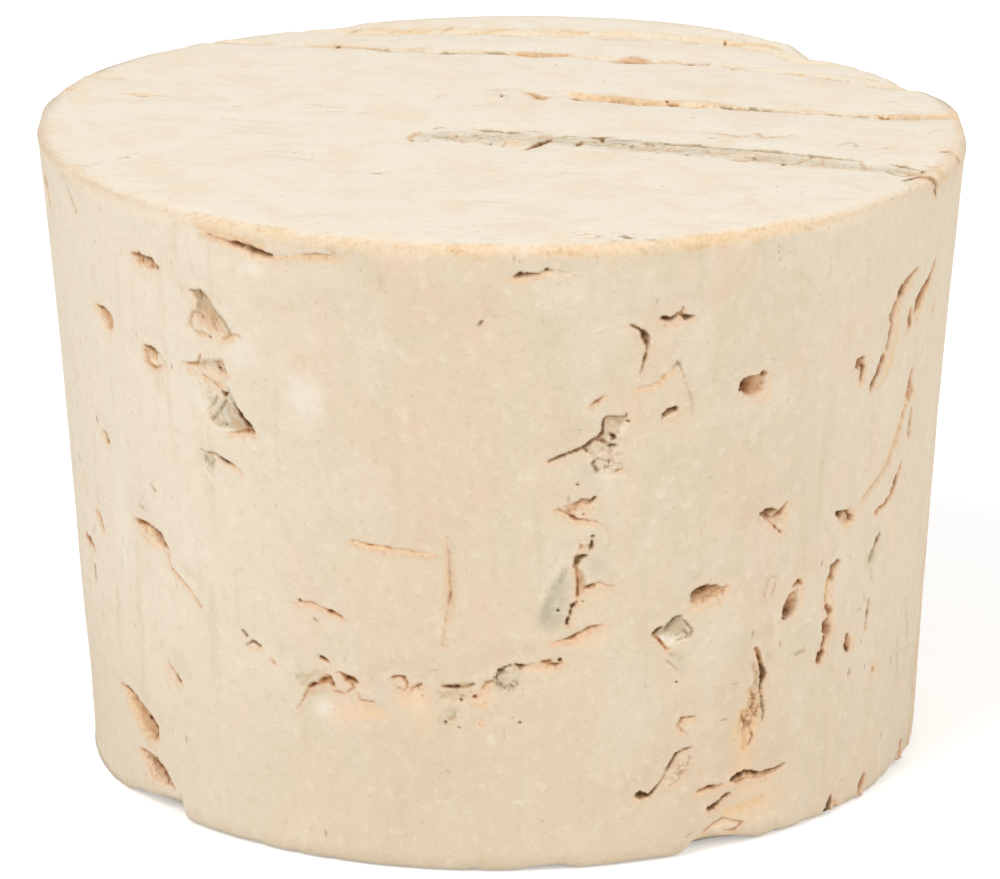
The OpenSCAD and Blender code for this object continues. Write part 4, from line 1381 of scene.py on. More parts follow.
def middle_clefts() -> list:
    """The slanted crack with its crumbled hollow, and the upright cleft under it.

    Returns: the marks.
    """
    return [
        crack(
            DARK, (15, 33.1, 0.1), (16.7, 32.6, 0.3), (17, 32.3, 0.5), (17.2, 31.8, 0.25),
            (17.1, 31.2, 0.18), (16.4, 30, 0.08), depth=0.7, lip=0.4,
        ),
        crack(RUST, (10.4, 28.4, 0.12), (11.3, 28.7, 0.2), (12.2, 29, 0.08)),
        # slanted crack and crumbled three-cornered hollow
        cleft(
            PALE, 0.25, 120, 0.2, (9.6, 25.9), (11.4, 26.5), (12.1, 26.8), (12.5, 27.7), (15, 27.6),
            (15.4, 27.3), (14.2, 26.2), (14.7, 25.5), (14.5, 24.7), (14, 24.2), (11.1, 24.4), (10.2, 24.9),
        ),
        streak(PINKISH, 0.7, (13, 27.3, 0.7), (13, 26.8, 0.75)),
        Stain(OnSide(10, 24.5), 1, 1.1, GREYISH, 0.8),
        Stain(OnSide(11.4, 23.7), 3, 1.3, BLUISH, 0.6),
        streak(CHALKY, 0.85, (12.1, 24.2, 0.2), (14.8, 24.1, 0.18)),
        Crumbs(OnSide(12.6, 25.3, 20), 2.5, 2.2, 0.18, 0.32, PINKISH, SHADED_BROWN, 0.6),
        streak(PEACHY, 0.75, (4.3, 25.2, 0.13), (5.6, 25.1, 0.22), (7.1, 25, 0.16)),
        crack(
            DARK, (5.4, 25.2, 0.14), (7.5, 25.6, 0.24), (9.5, 25.9, 0.24), (11.4, 26.5, 0.21),
            (12, 26.8, 0.28), (12.1, 27.5, 0.17), (12.6, 27.7, 0.16), (14.9, 27.6, 0.12), lip=0.1,
        ),
        crack(DARK, (9.6, 25.9, 0.2), (10.1, 25.7, 0.2), lip=0.1),
        crack(DARK, (11.2, 26.3, 0.17), (12, 26.2, 0.3), (12.4, 26.1, 0.2), lip=0.2),
        crack(DARK, (13, 26.6, 0.14), (13.5, 26.4, 0.28), (13.2, 26.3, 0.14), lip=0.2),
        crack(GREY, (12.6, 25.9, 0.2), (13.2, 25.9, 0.35), (13.7, 25.9, 0.17), lip=0.1),
        crack(
            GREY, (11.4, 24.5, 0.28), (10.9, 24.9, 0.28), (11.3, 25.2, 0.2), (12.1, 25.1, 0.11),
            lip=0.1,
        ),
        crack(RUST, (13.4, 24.3, 0.11), (14, 24.4, 0.17), (14.6, 24.5, 0.11)),
        dot(12.9, 24.9, 0.2),
        dot(12.3, 24.4, 0.15, GREY),
        dot(14.9, 27.7, 0.2),
        dot(15.2, 27.3, 0.24, RUST),
        dot(9, 23.7, 0.21),
        # crumbled crack under it
        cleft(
            PEACH, 0.2, 115, 0.1, (7.1, 22.2), (8.6, 22.6), (9.4, 22.9), (11.2, 22.9), (11.4, 22.5),
            (10.3, 21.8), (9, 21.6), (8.2, 21.8),
        ),
        crack(RUST, (7.4, 22.4, 0.11), (9, 22.6, 0.2), (9.9, 22.8, 0.11)),
        crack(DARK, (10.1, 22.5, 0.11), (10.8, 22.7, 0.17), (11.2, 22.9, 0.24), lip=0.4),
        crack(
            RUST, (6.6, 22.3, 0.11), (7.7, 22, 0.18), (8.9, 21.6, 0.28), (9.6, 21.6, 0.15),
            (11.4, 21.4, 0.1),
        ),
        dot(9.8, 21.9, 0.26, RUST),
        streak(PEACHY, 0.75, (8.9, 21.3, 0.2), (10.1, 21.2, 0.33), (11.4, 21.3, 0.2)),
        # upright cleft
        Stain(OnSide(11.5, 18.6), 1.3, 1.5, GREYISH, 0.85),
        Crumbs(OnSide(10.3, 20), 1.4, 1.1, 0.12, 0.3, CREAMY, RUSTY, 0.5),
        dot(11, 20.5, 0.3, GREY),
        crack(DARK, (10.9, 20.2, 0.24), (10.8, 19.9, 0.35), (10.6, 19.7, 0.14), lip=0.1),
        crack(RUST, (9.4, 19.8, 0.11), (9.6, 20, 0.14), (10, 19.9, 0.11)),
        crack(DARK, (10.3, 19.4, 0.14), (9.2, 19.3, 0.48), (9, 19, 0.35), (8.8, 18.8, 0.24), lip=0.1),
        streak(BROWN, 0.95, (9.5, 18.4, 0.3), (9.7, 17.8, 0.6), (9.5, 17.2, 0.35)),
        crack(RUST, (9, 18.8, 0.14), (9.2, 17.9, 0.22), (9.2, 17, 0.28), (9.1, 16.7, 0.14), lip=0.7),
        crack(DARK, (9.1, 16.6, 0.14), (8.6, 16.4, 0.28), (8.1, 15.7, 0.2), (7.9, 15.3, 0.22)),
        dot(9.9, 16.6, 0.18, RUST),
        crack(
            RUST, (10.1, 17.4, 0.16), (10.8, 17.5, 0.28), (11.9, 17.7, 0.14), (12.9, 17.5, 0.1),
            (13.9, 17.4, 0.1),
        ),
        streak(PEACHY, 0.85, (10.1, 17.1, 0.26), (11.5, 16.9, 0.5), (13.3, 17, 0.33)),
        dot(12.4, 18.5, 0.17, GREY),
        dot(12.8, 19.3, 0.15, GREY),
        streak(
            SMOKY, 0.9, (7.9, 18.7, 0.25), (7, 18, 0.55), (6.2, 17.3, 0.85), (5.4, 16.4, 0.8),
            (5, 15.5, 0.5),
        ),
        Stain(OnSide(6.7, 17, 66), 2.8, 1.5, SMOKY, 0.6),
        Stain(OnSide(5.7, 15.7), 1.8, 1.6, SMOKY, 0.6),
        dot(6.8, 16.1, 0.24, GREY),
        Stain(OnSide(9.8, 14.2, 6), 3.4, 0.8, PEACHY, 0.7),
    ]


def right_half() -> list:
    """Pores, pits and clefts of the right half, up to its growth lines.

    Returns: the marks.
    """
    return [
        # short dark crack, and the bent hairline right of the hollow
        crack(
            DARK, (19.1, 33.3, 0.24), (20.1, 33.2, 0.3), (21.1, 33.4, 0.24), (22.2, 33.2, 0.32),
            (23.2, 33.2, 0.11), lip=0.6,
        ),
        crack(RUST, (21.2, 33.4, 0.17), (21.6, 33.6, 0.17), (21.7, 33.8, 0.12)),
        streak(PEACHY, 0.85, (19.7, 32.8, 0.33), (21.6, 32.7, 0.4)),
        crack(
            OCHRE, (16.3, 29.2, 0.11), (18.5, 29.4, 0.13), (19.5, 29.8, 0.16), (20.5, 30.1, 0.12),
            lip=0.9,
        ),
        crack(
            FAINT, (20.6, 30.2, 0.11), (21.3, 30.4, 0.19), (21.8, 30.1, 0.15), (22.7, 28.9, 0.11),
            lip=0.2,
        ),
        crack(GREY, (21.1, 30.6, 0.11), (21.5, 30.4, 0.15), (21.8, 30, 0.11), lip=0.1),
        streak(KHAKI, 0.75, (20.8, 30.4, 0.4), (21.4, 30.5, 0.4)),
        streak(KHAKI, 0.75, (23, 28.6, 0.2), (23.4, 28, 0.35), (23.3, 27.4, 0.27)),
        crack(FAINT, (22.8, 28.7, 0.11), (23.4, 28.1, 0.12), (23.5, 27.2, 0.1), lip=0.1),
        # dark slit and large pore
        cleft(
            RUST, 0.6, 150, 0.3, (19.3, 27.2), (19.5, 27.6), (20.9, 27.9), (21.8, 27.8), (21.4, 27.5),
            (19.8, 27.2),
        ),
        crack(DARK, (19.5, 27.4, 0.14), (20.2, 27.7, 0.24), (21.1, 27.8, 0.32), lip=0.1),
        streak(PEACHY, 0.75, (19.7, 27, 0.2), (21, 27.1, 0.26), (22.3, 27.4, 0.26)),
        cleft(
            RUST, 0.9, 150, 0.15, (30, 28.4), (30.2, 28.9), (31.1, 29), (33.2, 29.1), (33.9, 29),
            (34.1, 28.3), (33.7, 27.8), (32.8, 27.5), (31.5, 27.5), (30.4, 27.9),
        ),
        crack(
            DARK, (30.1, 28.3, 0.3), (30.4, 28.7, 0.45), (31.2, 28.9, 0.33), (32.2, 28.9, 0.14),
            lip=0.1,
        ),
        crack(RUST, (32.4, 28.9, 0.18), (33.2, 29, 0.3), (33.9, 29, 0.11), lip=0.1),
        streak(PEACHY, 0.95, (34.2, 28.5, 0.3), (34.4, 27.8, 0.37), (33.5, 27.3, 0.28)),
        # round pore with its stem
        cleft(
            RUST, 0.6, 190, 0.25, (49, 27.8), (49.2, 28.3), (50.1, 28.4), (51.6, 28.2), (51.8, 28),
            (50.8, 27.6), (49.9, 27.5),
        ),
        crack(DARK, (49.3, 27.9, 0.25), (49.6, 28.2, 0.35), (50.6, 28.3, 0.2), lip=0.1),
        crack(RUST, (50.7, 27.7, 0.3), (50.5, 27.2, 0.38), (50.5, 26.8, 0.2), lip=0.8),
        streak(HONEY, 0.9, (51.2, 27.4, 0.3), (51, 26.8, 0.3)),
        # three-cornered pores
        cleft(
            PEACH, 0.6, 165, 0.15, (34.1, 20.4), (34.5, 20.6), (36.9, 20.6), (38, 20.9), (38.6, 20.7),
            (38.1, 20.2), (37.5, 18.9), (35.1, 19.9),
        ),
        crack(
            DARK, (34.2, 20.4, 0.3), (34.8, 20.5, 0.5), (35.9, 20.5, 0.3), (36.6, 20.4, 0.17),
            lip=0.1,
        ),
        crack(RUST, (34.6, 20.2, 0.25), (35.4, 19.9, 0.16), (37.4, 19, 0.22), lip=0.3),
        crack(RUST, (36.3, 20, 0.16), (37.1, 20.2, 0.27), (38.2, 20.8, 0.13), lip=0.3),
        streak(HONEY, 0.8, (38.5, 20.5, 0.25), (38.1, 19.8, 0.25), (37.8, 19.1, 0.25)),
        cleft(
            PEACH, 0.6, 135, 0.2, (47.3, 19.1), (48, 19.2), (51.4, 19.1), (51.8, 18.9), (51.3, 18.3),
            (50.2, 18), (49, 17.9), (48.2, 18.4),
        ),
        crack(DARK, (47.5, 19.1, 0.3), (48.6, 18.9, 0.48), (49.5, 18.9, 0.23), lip=0.2),
        crack(RUST, (50, 18.9, 0.3), (50.6, 18.5, 0.38), (49.7, 18.3, 0.2), lip=0.6),
        streak(HONEY, 0.75, (51.3, 18.7, 0.4), (51, 18.2, 0.35), (49.6, 18, 0.25)),
        # lens-shaped pore
        cleft(
            RUST, 0.8, 110, 0.12, (24, 15.8), (24.6, 16.2), (25.6, 16.7), (27.9, 16.7), (29.7, 16.3),
            (29.3, 15.8), (26.9, 15.4), (24.8, 15.4),
        ),
        crack(
            DARK, (24.4, 15.9, 0.3), (24.8, 16.3, 0.45), (25.5, 16.5, 0.3), (26.6, 16.7, 0.2),
            lip=0.1,
        ),
        crack(
            RUST, (24.9, 15.9, 0.14), (27.1, 16.1, 0.15), (28.4, 16.3, 0.2), (29.4, 16.4, 0.11),
            lip=0.3,
        ),
        streak(
            PEACHY, 0.9, (24.6, 15.4, 0.2), (26.4, 15.2, 0.27), (28.4, 15.4, 0.27),
            (29.5, 15.8, 0.2),
        ),
        # grey pit with a chalky floor
        cleft(
            PALE, 0.25, 110, 0.3, (19.3, 14.2), (20.6, 14.5), (21.1, 14.8), (22.9, 15), (24.6, 14.2),
            (24.6, 13.6), (23.4, 13.4), (21.6, 13.1), (20.4, 13.7), (19.5, 13.9),
        ),
        crack(DARK, (19.3, 14.2, 0.24), (19.8, 14.4, 0.3), (20.2, 14.5, 0.2), lip=0.1),
        crack(GREY, (20.9, 14.4, 0.22), (21.5, 14.6, 0.38), (22.3, 15, 0.26), (22.9, 15, 0.2), lip=0.1),
        streak(ASHEN, 0.8, (21.1, 14.3, 0.33), (22.1, 14.6, 0.45), (23, 14.8, 0.33)),
        streak(SMOKY, 0.75, (22.8, 14, 0.5), (23.6, 14.2, 0.55), (24.2, 13.7, 0.35)),
        streak(CHALKY, 0.85, (20.3, 13.9, 0.5), (21.5, 13.6, 0.45), (22.1, 13.8, 0.35)),
        crack(
            GREY, (22.3, 13.9, 0.14), (23.6, 14.1, 0.18), (24.2, 13.7, 0.18), (22.7, 13.6, 0.12),
            lip=0.1,
        ),
        crack(GREY, (23.3, 14.8, 0.14), (24.6, 14.1, 0.2), (24.5, 13.7, 0.12), lip=0.1),
        crack(RUST, (19.5, 14, 0.17), (20.2, 13.7, 0.22), (21.1, 13.1, 0.18), (21.6, 13.2, 0.11)),
        streak(KHAKI, 0.65, (21.8, 12.8, 0.26), (22.9, 12.4, 0.4), (24, 12.7, 0.33)),
        crack(FAINT, (21.2, 12.4, 0.11), (22.8, 11.7, 0.13), lip=0.1),
        dot(22.7, 11, 0.26, GREY),
        Stain(OnSide(23.1, 12.1), 1, 1.4, GREYISH, 0.7),
        # pore and thin grey oval beside it
        cleft(
            RUST, 0.8, 200, 0.12, (38.7, 13.6), (38.8, 14.4), (39.4, 15), (41.2, 15.6), (41.8, 15.4),
            (41.7, 14.5), (41.2, 13.8), (40.4, 13.5), (39.3, 13.4),
        ),
        crack(DARK, (38.9, 13.7, 0.38), (39.2, 14.2, 0.48), (39.5, 14.7, 0.3), lip=0.1),
        crack(RUST, (40.2, 15.4, 0.23), (41.1, 15.6, 0.3), (41.6, 15.4, 0.15), lip=0.1),
        streak(PEACHY, 0.9, (42.1, 15, 0.25), (41.8, 14.2, 0.33), (40.7, 13.5, 0.3)),
        crack(
            FAINT, (35.3, 15.2, 0.11), (35.5, 15.8, 0.11), (36.1, 16.4, 0.11), (37, 16.3, 0.12),
            (36.9, 15.7, 0.11), (36.4, 15.1, 0.11), lip=0.1,
        ),
        # chain of pits down a growth line
        streak(PEACHY, 0.85, (48.3, 15.4, 0.45), (47.5, 14.4, 0.4), (48.1, 12, 0.6), (47.2, 10.5, 0.45)),
        crack(RUST, (48.5, 16, 0.3), (47.3, 15.8, 0.5), (47.2, 15.1, 0.35), lip=0.4),
        crack(DARK, (47, 15.3, 0.18), (47.1, 15.7, 0.28), (47.8, 16, 0.14), lip=0.1),
        crack(OCHRE, (46.6, 15.1, 0.2), (46.3, 13.7, 0.2), lip=0.8),
        crack(RUST, (46.7, 13.4, 0.4), (47.3, 13, 0.5)),
        cleft(
            RUST, 0.8, 200, 0.25, (46.2, 11.9), (46.1, 12.5), (46.7, 12.7), (47.7, 12.5), (48.4, 12),
            (48.2, 11.5), (47.2, 11.4),
        ),
        crack(DARK, (46.4, 12, 0.3), (46.5, 12.4, 0.34), (47.1, 12.6, 0.14), lip=0.1),
        crack(RUST, (46.7, 11.5, 0.3), (46.4, 11.1, 0.33), (46.2, 10.8, 0.2), lip=0.6),
        crack(RUST, (46.3, 10.6, 0.4), (45.8, 10.2, 0.5)),
        crack(DARK, (45.5, 10.3, 0.2), (45.6, 10.6, 0.2), lip=0.1),
        # pits right of the chain
        cleft(
            RUST, 0.6, 170, 0.2, (51.5, 11.1), (52.8, 10.8), (53, 10.2), (52.5, 9.8), (51.3, 10.4),
            (51, 10.9),
        ),
        crack(DARK, (51.6, 11, 0.3), (51.4, 10.5, 0.5), (51.9, 10.1, 0.3), lip=0.3),
        streak(HONEY, 0.75, (52.9, 10.7, 0.3), (53.1, 9.9, 0.35)),
        dot(59, 7.9, 0.45, RUST),
        dot(58.8, 8, 0.22),
        streak(PEACHY, 0.85, (59.9, 8.1, 0.4), (60.3, 7.4, 0.4)),
        crack(GREY, (41.2, 11, 0.15), (41.9, 11.1, 0.16), (43.1, 11.1, 0.1), lip=0.2),
        streak(KHAKI, 0.6, (41.2, 11.1, 0.28), (42.8, 11.3, 0.28)),
        crack(GREY, (52.8, 8.8, 0.2), (52.4, 8.5, 0.24), lip=0.2),
    ]


def right_lines() -> list:
    """The open growth lines near the right edge of sight, and the dusty streaks under them.

    Returns: the marks.
    """
    return [
        # first line, widest at its bend
        streak(HONEY, 0.9, (61.5, 31.5, 0.27), (59.2, 31, 0.5), (58.1, 30.2, 0.7), (57.9, 28.6, 0.65)),
        streak(HONEY, 0.9, (57.9, 28.4, 0.7), (57, 27.3, 1.1), (56, 26.5, 0.9), (54.8, 26, 0.37)),
        crack(
            RUST, (62.4, 32.3, 0.14), (60.9, 32.1, 0.25), (59.6, 31.8, 0.5), (58.6, 31.5, 0.8),
            (57.8, 31.2, 0.6), (57.5, 31, 0.2), lip=0.6,
        ),
        crack(DARK, (59.2, 31.6, 0.2), (58.4, 31.3, 0.4), (57.7, 31.1, 0.25), lip=0.1),
        crack(
            RUST, (57.5, 31, 0.2), (56.6, 30.4, 0.5), (56.4, 30.1, 0.65), (56.5, 29.7, 0.36),
            (56.2, 28.7, 0.2), (55.8, 28.2, 0.23), lip=0.7,
        ),
        crack(GREY, (56.7, 30.3, 0.17), (56.5, 30, 0.3), lip=0.1),
        crack(
            RUST, (55.3, 27.9, 0.33), (54.8, 27.6, 0.5), (54.1, 26.9, 0.26), (53, 26.3, 0.5),
            (52.9, 26, 0.18), lip=0.6,
        ),
        crack(DARK, (55.1, 27.8, 0.22), (54.6, 27.5, 0.28), lip=0.1),
        crack(DARK, (53.4, 26.5, 0.17), (53.1, 26.3, 0.27), lip=0.1),
        dot(56.9, 27.6, 0.14, RUST),
        # second line
        streak(HONEY, 0.9, (68.3, 30.9, 0.37), (66, 30.2, 0.6), (64.9, 29.6, 0.5), (63.5, 29, 0.45)),
        crack(
            RUST, (68.6, 31.9, 0.25), (67.5, 31.2, 0.5), (66, 30.8, 0.6), (64.7, 30.5, 0.9),
            (63.8, 30.1, 1), (63.3, 29.8, 0.6), (62.8, 29.5, 0.2), depth=0.6,
        ),
        crack(DARK, (66, 30.9, 0.2), (64.6, 30.5, 0.4), (63.8, 30.2, 0.3), lip=0.1),
        crack(RUST, (61.6, 29.8, 0.35), (61.5, 29.4, 0.55), (61.6, 29, 0.48), (61, 28.7, 0.17), lip=0.6),
        crack(OCHRE, (70, 29.5, 0.2), (69.8, 28.7, 0.2), lip=0.4),
        # pit on it, and the thin lines that run down from there
        crack(
            RUST, (63.9, 26, 0.2), (63.5, 25.6, 0.3), (63.4, 25.1, 0.6), (63.5, 24.7, 1.1),
            (63.2, 24.5, 0.7), (63.5, 24.2, 0.3), lip=0.6,
        ),
        dot(63.6, 24.8, 0.4),
        streak(HONEY, 0.85, (65, 24.9, 0.45), (65.4, 24.1, 0.6)),
        streak(HONEY, 0.8, (61.7, 23.5, 0.5), (60.1, 22.3, 0.55), (58.3, 21.2, 0.4), (53.3, 19.5, 0.35)),
        crack(
            OCHRE, (62.7, 23.9, 0.28), (61, 22.2, 0.24), (59.8, 21.5, 0.28), (58.7, 20.9, 0.18),
            lip=0.6,
        ),
        crack(FAINT, (65, 23.4, 0.25), (64.7, 22.6, 0.35), (64.7, 21.9, 0.5), lip=0.6),
        crack(
            FAINT, (59.1, 21, 0.13), (57.5, 20.5, 0.18), (54.5, 19.7, 0.17), (53.1, 19.4, 0.1),
            lip=0.7,
        ),
        crack(
            RUST, (62.9, 20.3, 0.18), (62.2, 19.8, 0.44), (61.5, 19.4, 0.6), (60.4, 18.6, 0.28),
            (58.8, 18.3, 0.24), (56.7, 18.1, 0.3), lip=0.4,
        ),
        crack(DARK, (61.9, 19.6, 0.28), (61.4, 19.2, 0.33), lip=0.1),
        streak(CREAMY, 0.6, (59.7, 17.9, 0.6), (61.5, 16.3, 0.6), (62.4, 15.1, 0.5)),
        # grey-brown stroke
        streak(KHAKI, 0.8, (55.2, 15.5, 0.4), (56.4, 15, 0.4), (58.1, 15.6, 0.4)),
        crack(DARK, (58.1, 16.5, 0.2), (57.3, 16.2, 0.35), (56.7, 15.8, 0.25), lip=0.2),
        crack(GREY, (56.6, 15.7, 0.35), (56.2, 15.4, 0.5), (55.9, 15.1, 0.22), lip=0.2),
        crack(GREY, (56.3, 12.6, 0.2), (56.1, 11.8, 0.25), (55.9, 10.9, 0.15), lip=0.4),
        # dusty streaks at the edge of sight
        streak(KHAKI, 0.5, (55.1, 15.3, 0.5), (57, 13.9, 0.4)),
        streak(KHAKI, 0.55, (66.8, 8.6, 0.6), (67.5, 6.7, 0.6), (67.6, 5.7, 0.4)),
        streak(KHAKI, 0.55, (69, 10.8, 0.6), (71.3, 8.7, 0.7), (71.9, 7.2, 0.5)),
        streak(KHAKI, 0.5, (75.4, 6, 0.6), (76.4, 4.3, 0.6)),
    ]


def low_right() -> list:
    """The upright cleft near the lower edge, the cracks that run from it, and the pits of the edge.

    Returns: the marks.
    """
    return [
        # upright cleft with rust-brown crumbs
        Stain(OnSide(33.2, 6.8, -8), 2.2, 5.4, HONEY, 0.8),
        streak(KHAKI, 0.75, (36.1, 11.6, 0.45), (37.1, 11.3, 0.35)),
        streak(BROWN, 0.85, (34, 11.2, 0.3), (34.6, 10.5, 0.4), (34.5, 9.9, 0.3)),
        crack(RUST, (34.4, 12.1, 0.3), (34.9, 11.7, 0.45), (35.3, 11.1, 0.3), lip=0.3),
        crack(DARK, (35.3, 11.1, 0.2), (35.7, 10.5, 0.5), (35.5, 10, 0.25), (35.4, 9.3, 0.18), lip=0.3),
        crack(RUST, (35.6, 9.3, 0.15), (35.8, 8.9, 0.25), (35.7, 8.4, 0.15), lip=0.3),
        streak(AMBER, 0.9, (33.8, 9.6, 0.65), (34.7, 8.5, 0.85), (34.2, 7.9, 0.65)),
        streak(AMBER, 0.85, (32.9, 8.3, 0.7), (33.1, 7.3, 0.8), (33.1, 6.1, 0.6)),
        crack(RUST, (34, 9.5, 0.16), (34.6, 8.9, 0.25), (34.1, 8.5, 0.28), (34.8, 7.9, 0.16), lip=0.4),
        crack(RUST, (32.6, 8.1, 0.2), (33.3, 7.5, 0.4), (32.8, 7.1, 0.25), lip=0.4),
        crack(RUST, (34.2, 7.7, 0.2), (33.9, 7.3, 0.34), (34.5, 6.7, 0.2), (33.9, 6.2, 0.16), lip=0.4),
        dot(33.5, 8.3, 0.24, RUST),
        dot(35, 8.1, 0.24, RUST),
        Crumbs(OnSide(34.5, 9, 85), 2.4, 1.3, 0.2, 0.32, HONEY, RUSTY, 0.5),
        Crumbs(OnSide(33.7, 7.6, 80), 2, 1.7, 0.2, 0.34, HONEY, RUSTY, 0.5),
        crack(GREY, (35.8, 8.8, 0.17), (36.2, 8, 0.25), (36, 7.5, 0.13), lip=0.1),
        # dark mouth under it
        cleft(
            RUST, 0.5, 80, 0.15, (31.4, 4.2), (33.3, 4.7), (36, 4.3), (38.5, 4.2), (40.2, 4.4),
            (38.8, 3.9), (36.8, 3.8), (33.1, 4.1), (32, 4),
        ),
        crack(
            DARK, (31.4, 4.2, 0.22), (32.4, 4.4, 0.34), (33.6, 4.5, 0.34), (36, 4.2, 0.28),
            (38.8, 4.2, 0.16), (40.3, 4.4, 0.11), lip=0.4,
        ),
        crack(RUST, (32.1, 4, 0.15), (33.7, 4.1, 0.17), (36.9, 3.9, 0.1), lip=0.6),
        streak(PEACHY, 0.85, (33, 3.4, 0.5), (35.5, 3.4, 0.6), (38, 3.5, 0.4)),
        crack(RUST, (26.2, 3.9, 0.2), (27.8, 4.1, 0.28), (29.3, 4, 0.14), (30, 4.1, 0.1), lip=0.7),
        crack(DARK, (28.1, 2.7, 0.3), (29.2, 2.9, 0.3), (30.3, 3.3, 0.2), (31.2, 3.4, 0.12), lip=0.7),
        streak(HONEY, 0.85, (34.6, 2.5, 0.26), (35.8, 2.4, 0.33)),
        streak(HONEY, 0.9, (30.4, 2.2, 0.65), (33.3, 2.3, 0.8), (36.6, 2.5, 0.65)),
        Stain(OnSide(35, 2.2, 8), 4.4, 2.2, PEACHY, 0.5),
        # raised lens by the lower edge
        crack(
            RUST, (27.2, 0.6, 0.15), (28.9, 1.6, 0.18), (30.3, 1.9, 0.14), (31.8, 1.5, 0.13),
            (33.5, 1.2, 0.14), (32, 0.6, 0.2), (30.6, 0.6, 0.11), lip=0.5,
        ),
        streak(CREAMY, 0.85, (28.7, 1.1, 0.5), (30.2, 1.4, 0.65), (31.8, 1.2, 0.4)),
        # long bent crack with a crumbled hollow behind it
        crack(
            DARK, (17.6, 4.3, 0.4), (19.2, 4.2, 0.28), (20.7, 4.9, 0.13), (22.3, 6.1, 0.18),
            (22.9, 6.5, 0.25), (23.6, 6.7, 0.2), (25.3, 6.8, 0.12), depth=0.4, lip=0.4,
        ),
        streak(CREAMY, 0.6, (21.8, 4.9, 0.6), (23.2, 5.5, 0.8), (24, 6.2, 0.6)),
        Crumbs(OnSide(23.2, 5.5, 55), 2.4, 1.4, 0.14, 0.32, PINKISH, RUSTY, 0.4),
        crack(FAINT, (21.9, 4.6, 0.1), (23.3, 4.8, 0.12), (24.9, 6, 0.11), lip=0.3),
        streak(HONEY, 0.75, (17.6, 4.1, 0.2), (17.4, 3.8, 0.2)),
        crack(RUST, (25.4, 8.7, 0.13), (23.6, 8.7, 0.2), (23, 8.3, 0.2), (23.9, 7.8, 0.11)),
        streak(PEACHY, 0.85, (23.8, 8.3, 0.4), (24.7, 8.4, 0.33)),
        # pits of the lower edge
        crack(RUST, (57.2, 0.4, 0.36), (57.5, 0.9, 0.6), (58.2, 1.3, 0.45), lip=0.6),
        crack(DARK, (50, 1, 0.4), (49.7, 0.5, 0.6), (49.3, 0.1, 0.7), lip=0.3),
        streak(AMBER, 0.75, (51.2, 0.4, 0.6), (51.8, 0, 0.7)),
        crack(RUST, (71.8, 0.5, 0.8), (72.2, 1.1, 0.7)),
    ]


def away_side(blank: Blank) -> list:
    """Pores, cracks and stains on the side away from the front, where nothing is known of them.

    Args:
        blank: the tapered blank.
    Returns: the marks.
    """
    listed = (
        (96, 23.6, 15, 2.2, 0.9), (104, 11.4, -60, 2.0, 0.8), (121, 31.9, 10, 2.6, 0.9),
        (133, 17.9, 40, 1.7, 1.0), (146, 8.4, 0, 2.4, 0.8), (158, 26.6, -12, 1.9, 1.1),
        (171, 14.8, 25, 1.6, 0.7), (186, 33.4, 0, 2.2, 0.6), (198, 21.3, -30, 2.1, 1.0),
        (212, 6.8, 12, 1.8, 0.8), (226, 28.9, 5, 1.6, 0.9), (239, 15.6, -8, 2.8, 0.8),
        (252, 24.3, 20, 1.5, 0.7), (263, 9.9, 0, 2.0, 0.9),
    )
    draw = np.random.default_rng(19)
    finishes = (Lined.RUST, Lined.PEACH, Lined.RUST, Lined.DARK, Lined.FAINT)
    found = []
    for number, (angle, up, turn, length, width) in enumerate(listed):
        lined = finishes[number % len(finishes)]
        at = OnSide(angle, up, turn)
        found.append(Pore(at, length, width, lined, 0.7, 80 + 8 * (number % 7), 1.7, 0.2, 0.14))
        found.append(Stain(OnSide(angle + 1, up - 0.8, turn), length * 1.3, width * 1.4, PEACHY, 0.4))
    for number in range(46):
        angle, up = draw.uniform(88, 272), draw.uniform(2.5, blank.height - 2)
        turn, length = draw.normal(8, 28), draw.uniform(0.5, 1.5)
        lined = finishes[int(draw.integers(5))]
        found.append(Pore(OnSide(angle, up, turn), length, length * 0.4, lined, 0.35, mesh=0.14))
    for number in range(18):
        angle, up = draw.uniform(92, 268), draw.uniform(3, blank.height - 3)
        slope, reach = draw.normal(0.1, 0.35), draw.uniform(2.5, 7)
        points = [
            (angle + share * reach, up + share * reach * 0.45 * slope + draw.normal(0, 0.12), width)
            for share, width in ((-0.5, 0.08), (-0.15, 0.22), (0.1, 0.16), (0.3, 0.26), (0.5, 0.08))
        ]
        found.append(Crack(OnSide, tuple(points), finishes[number % 3], 0.4, 0.13))
    for number in range(16):
        angle, up = draw.uniform(90, 270), draw.uniform(3, blank.height - 3)
        colour = (PINKISH, BLUISH, CHALKY, UMBER)[number % 4]
        size = draw.uniform(1.5, 5)
        found.append(Stain(OnSide(angle, up), size, size * draw.uniform(0.8, 2.2), colour, 0.3))
    found.append(
        Crumbs(OnSide(176, 24, 10), 6.0, 2.4, 0.25, 0.45, tone(236, 210, 176), tone(130, 96, 62), 0.5, 0.15)
    )
    return found




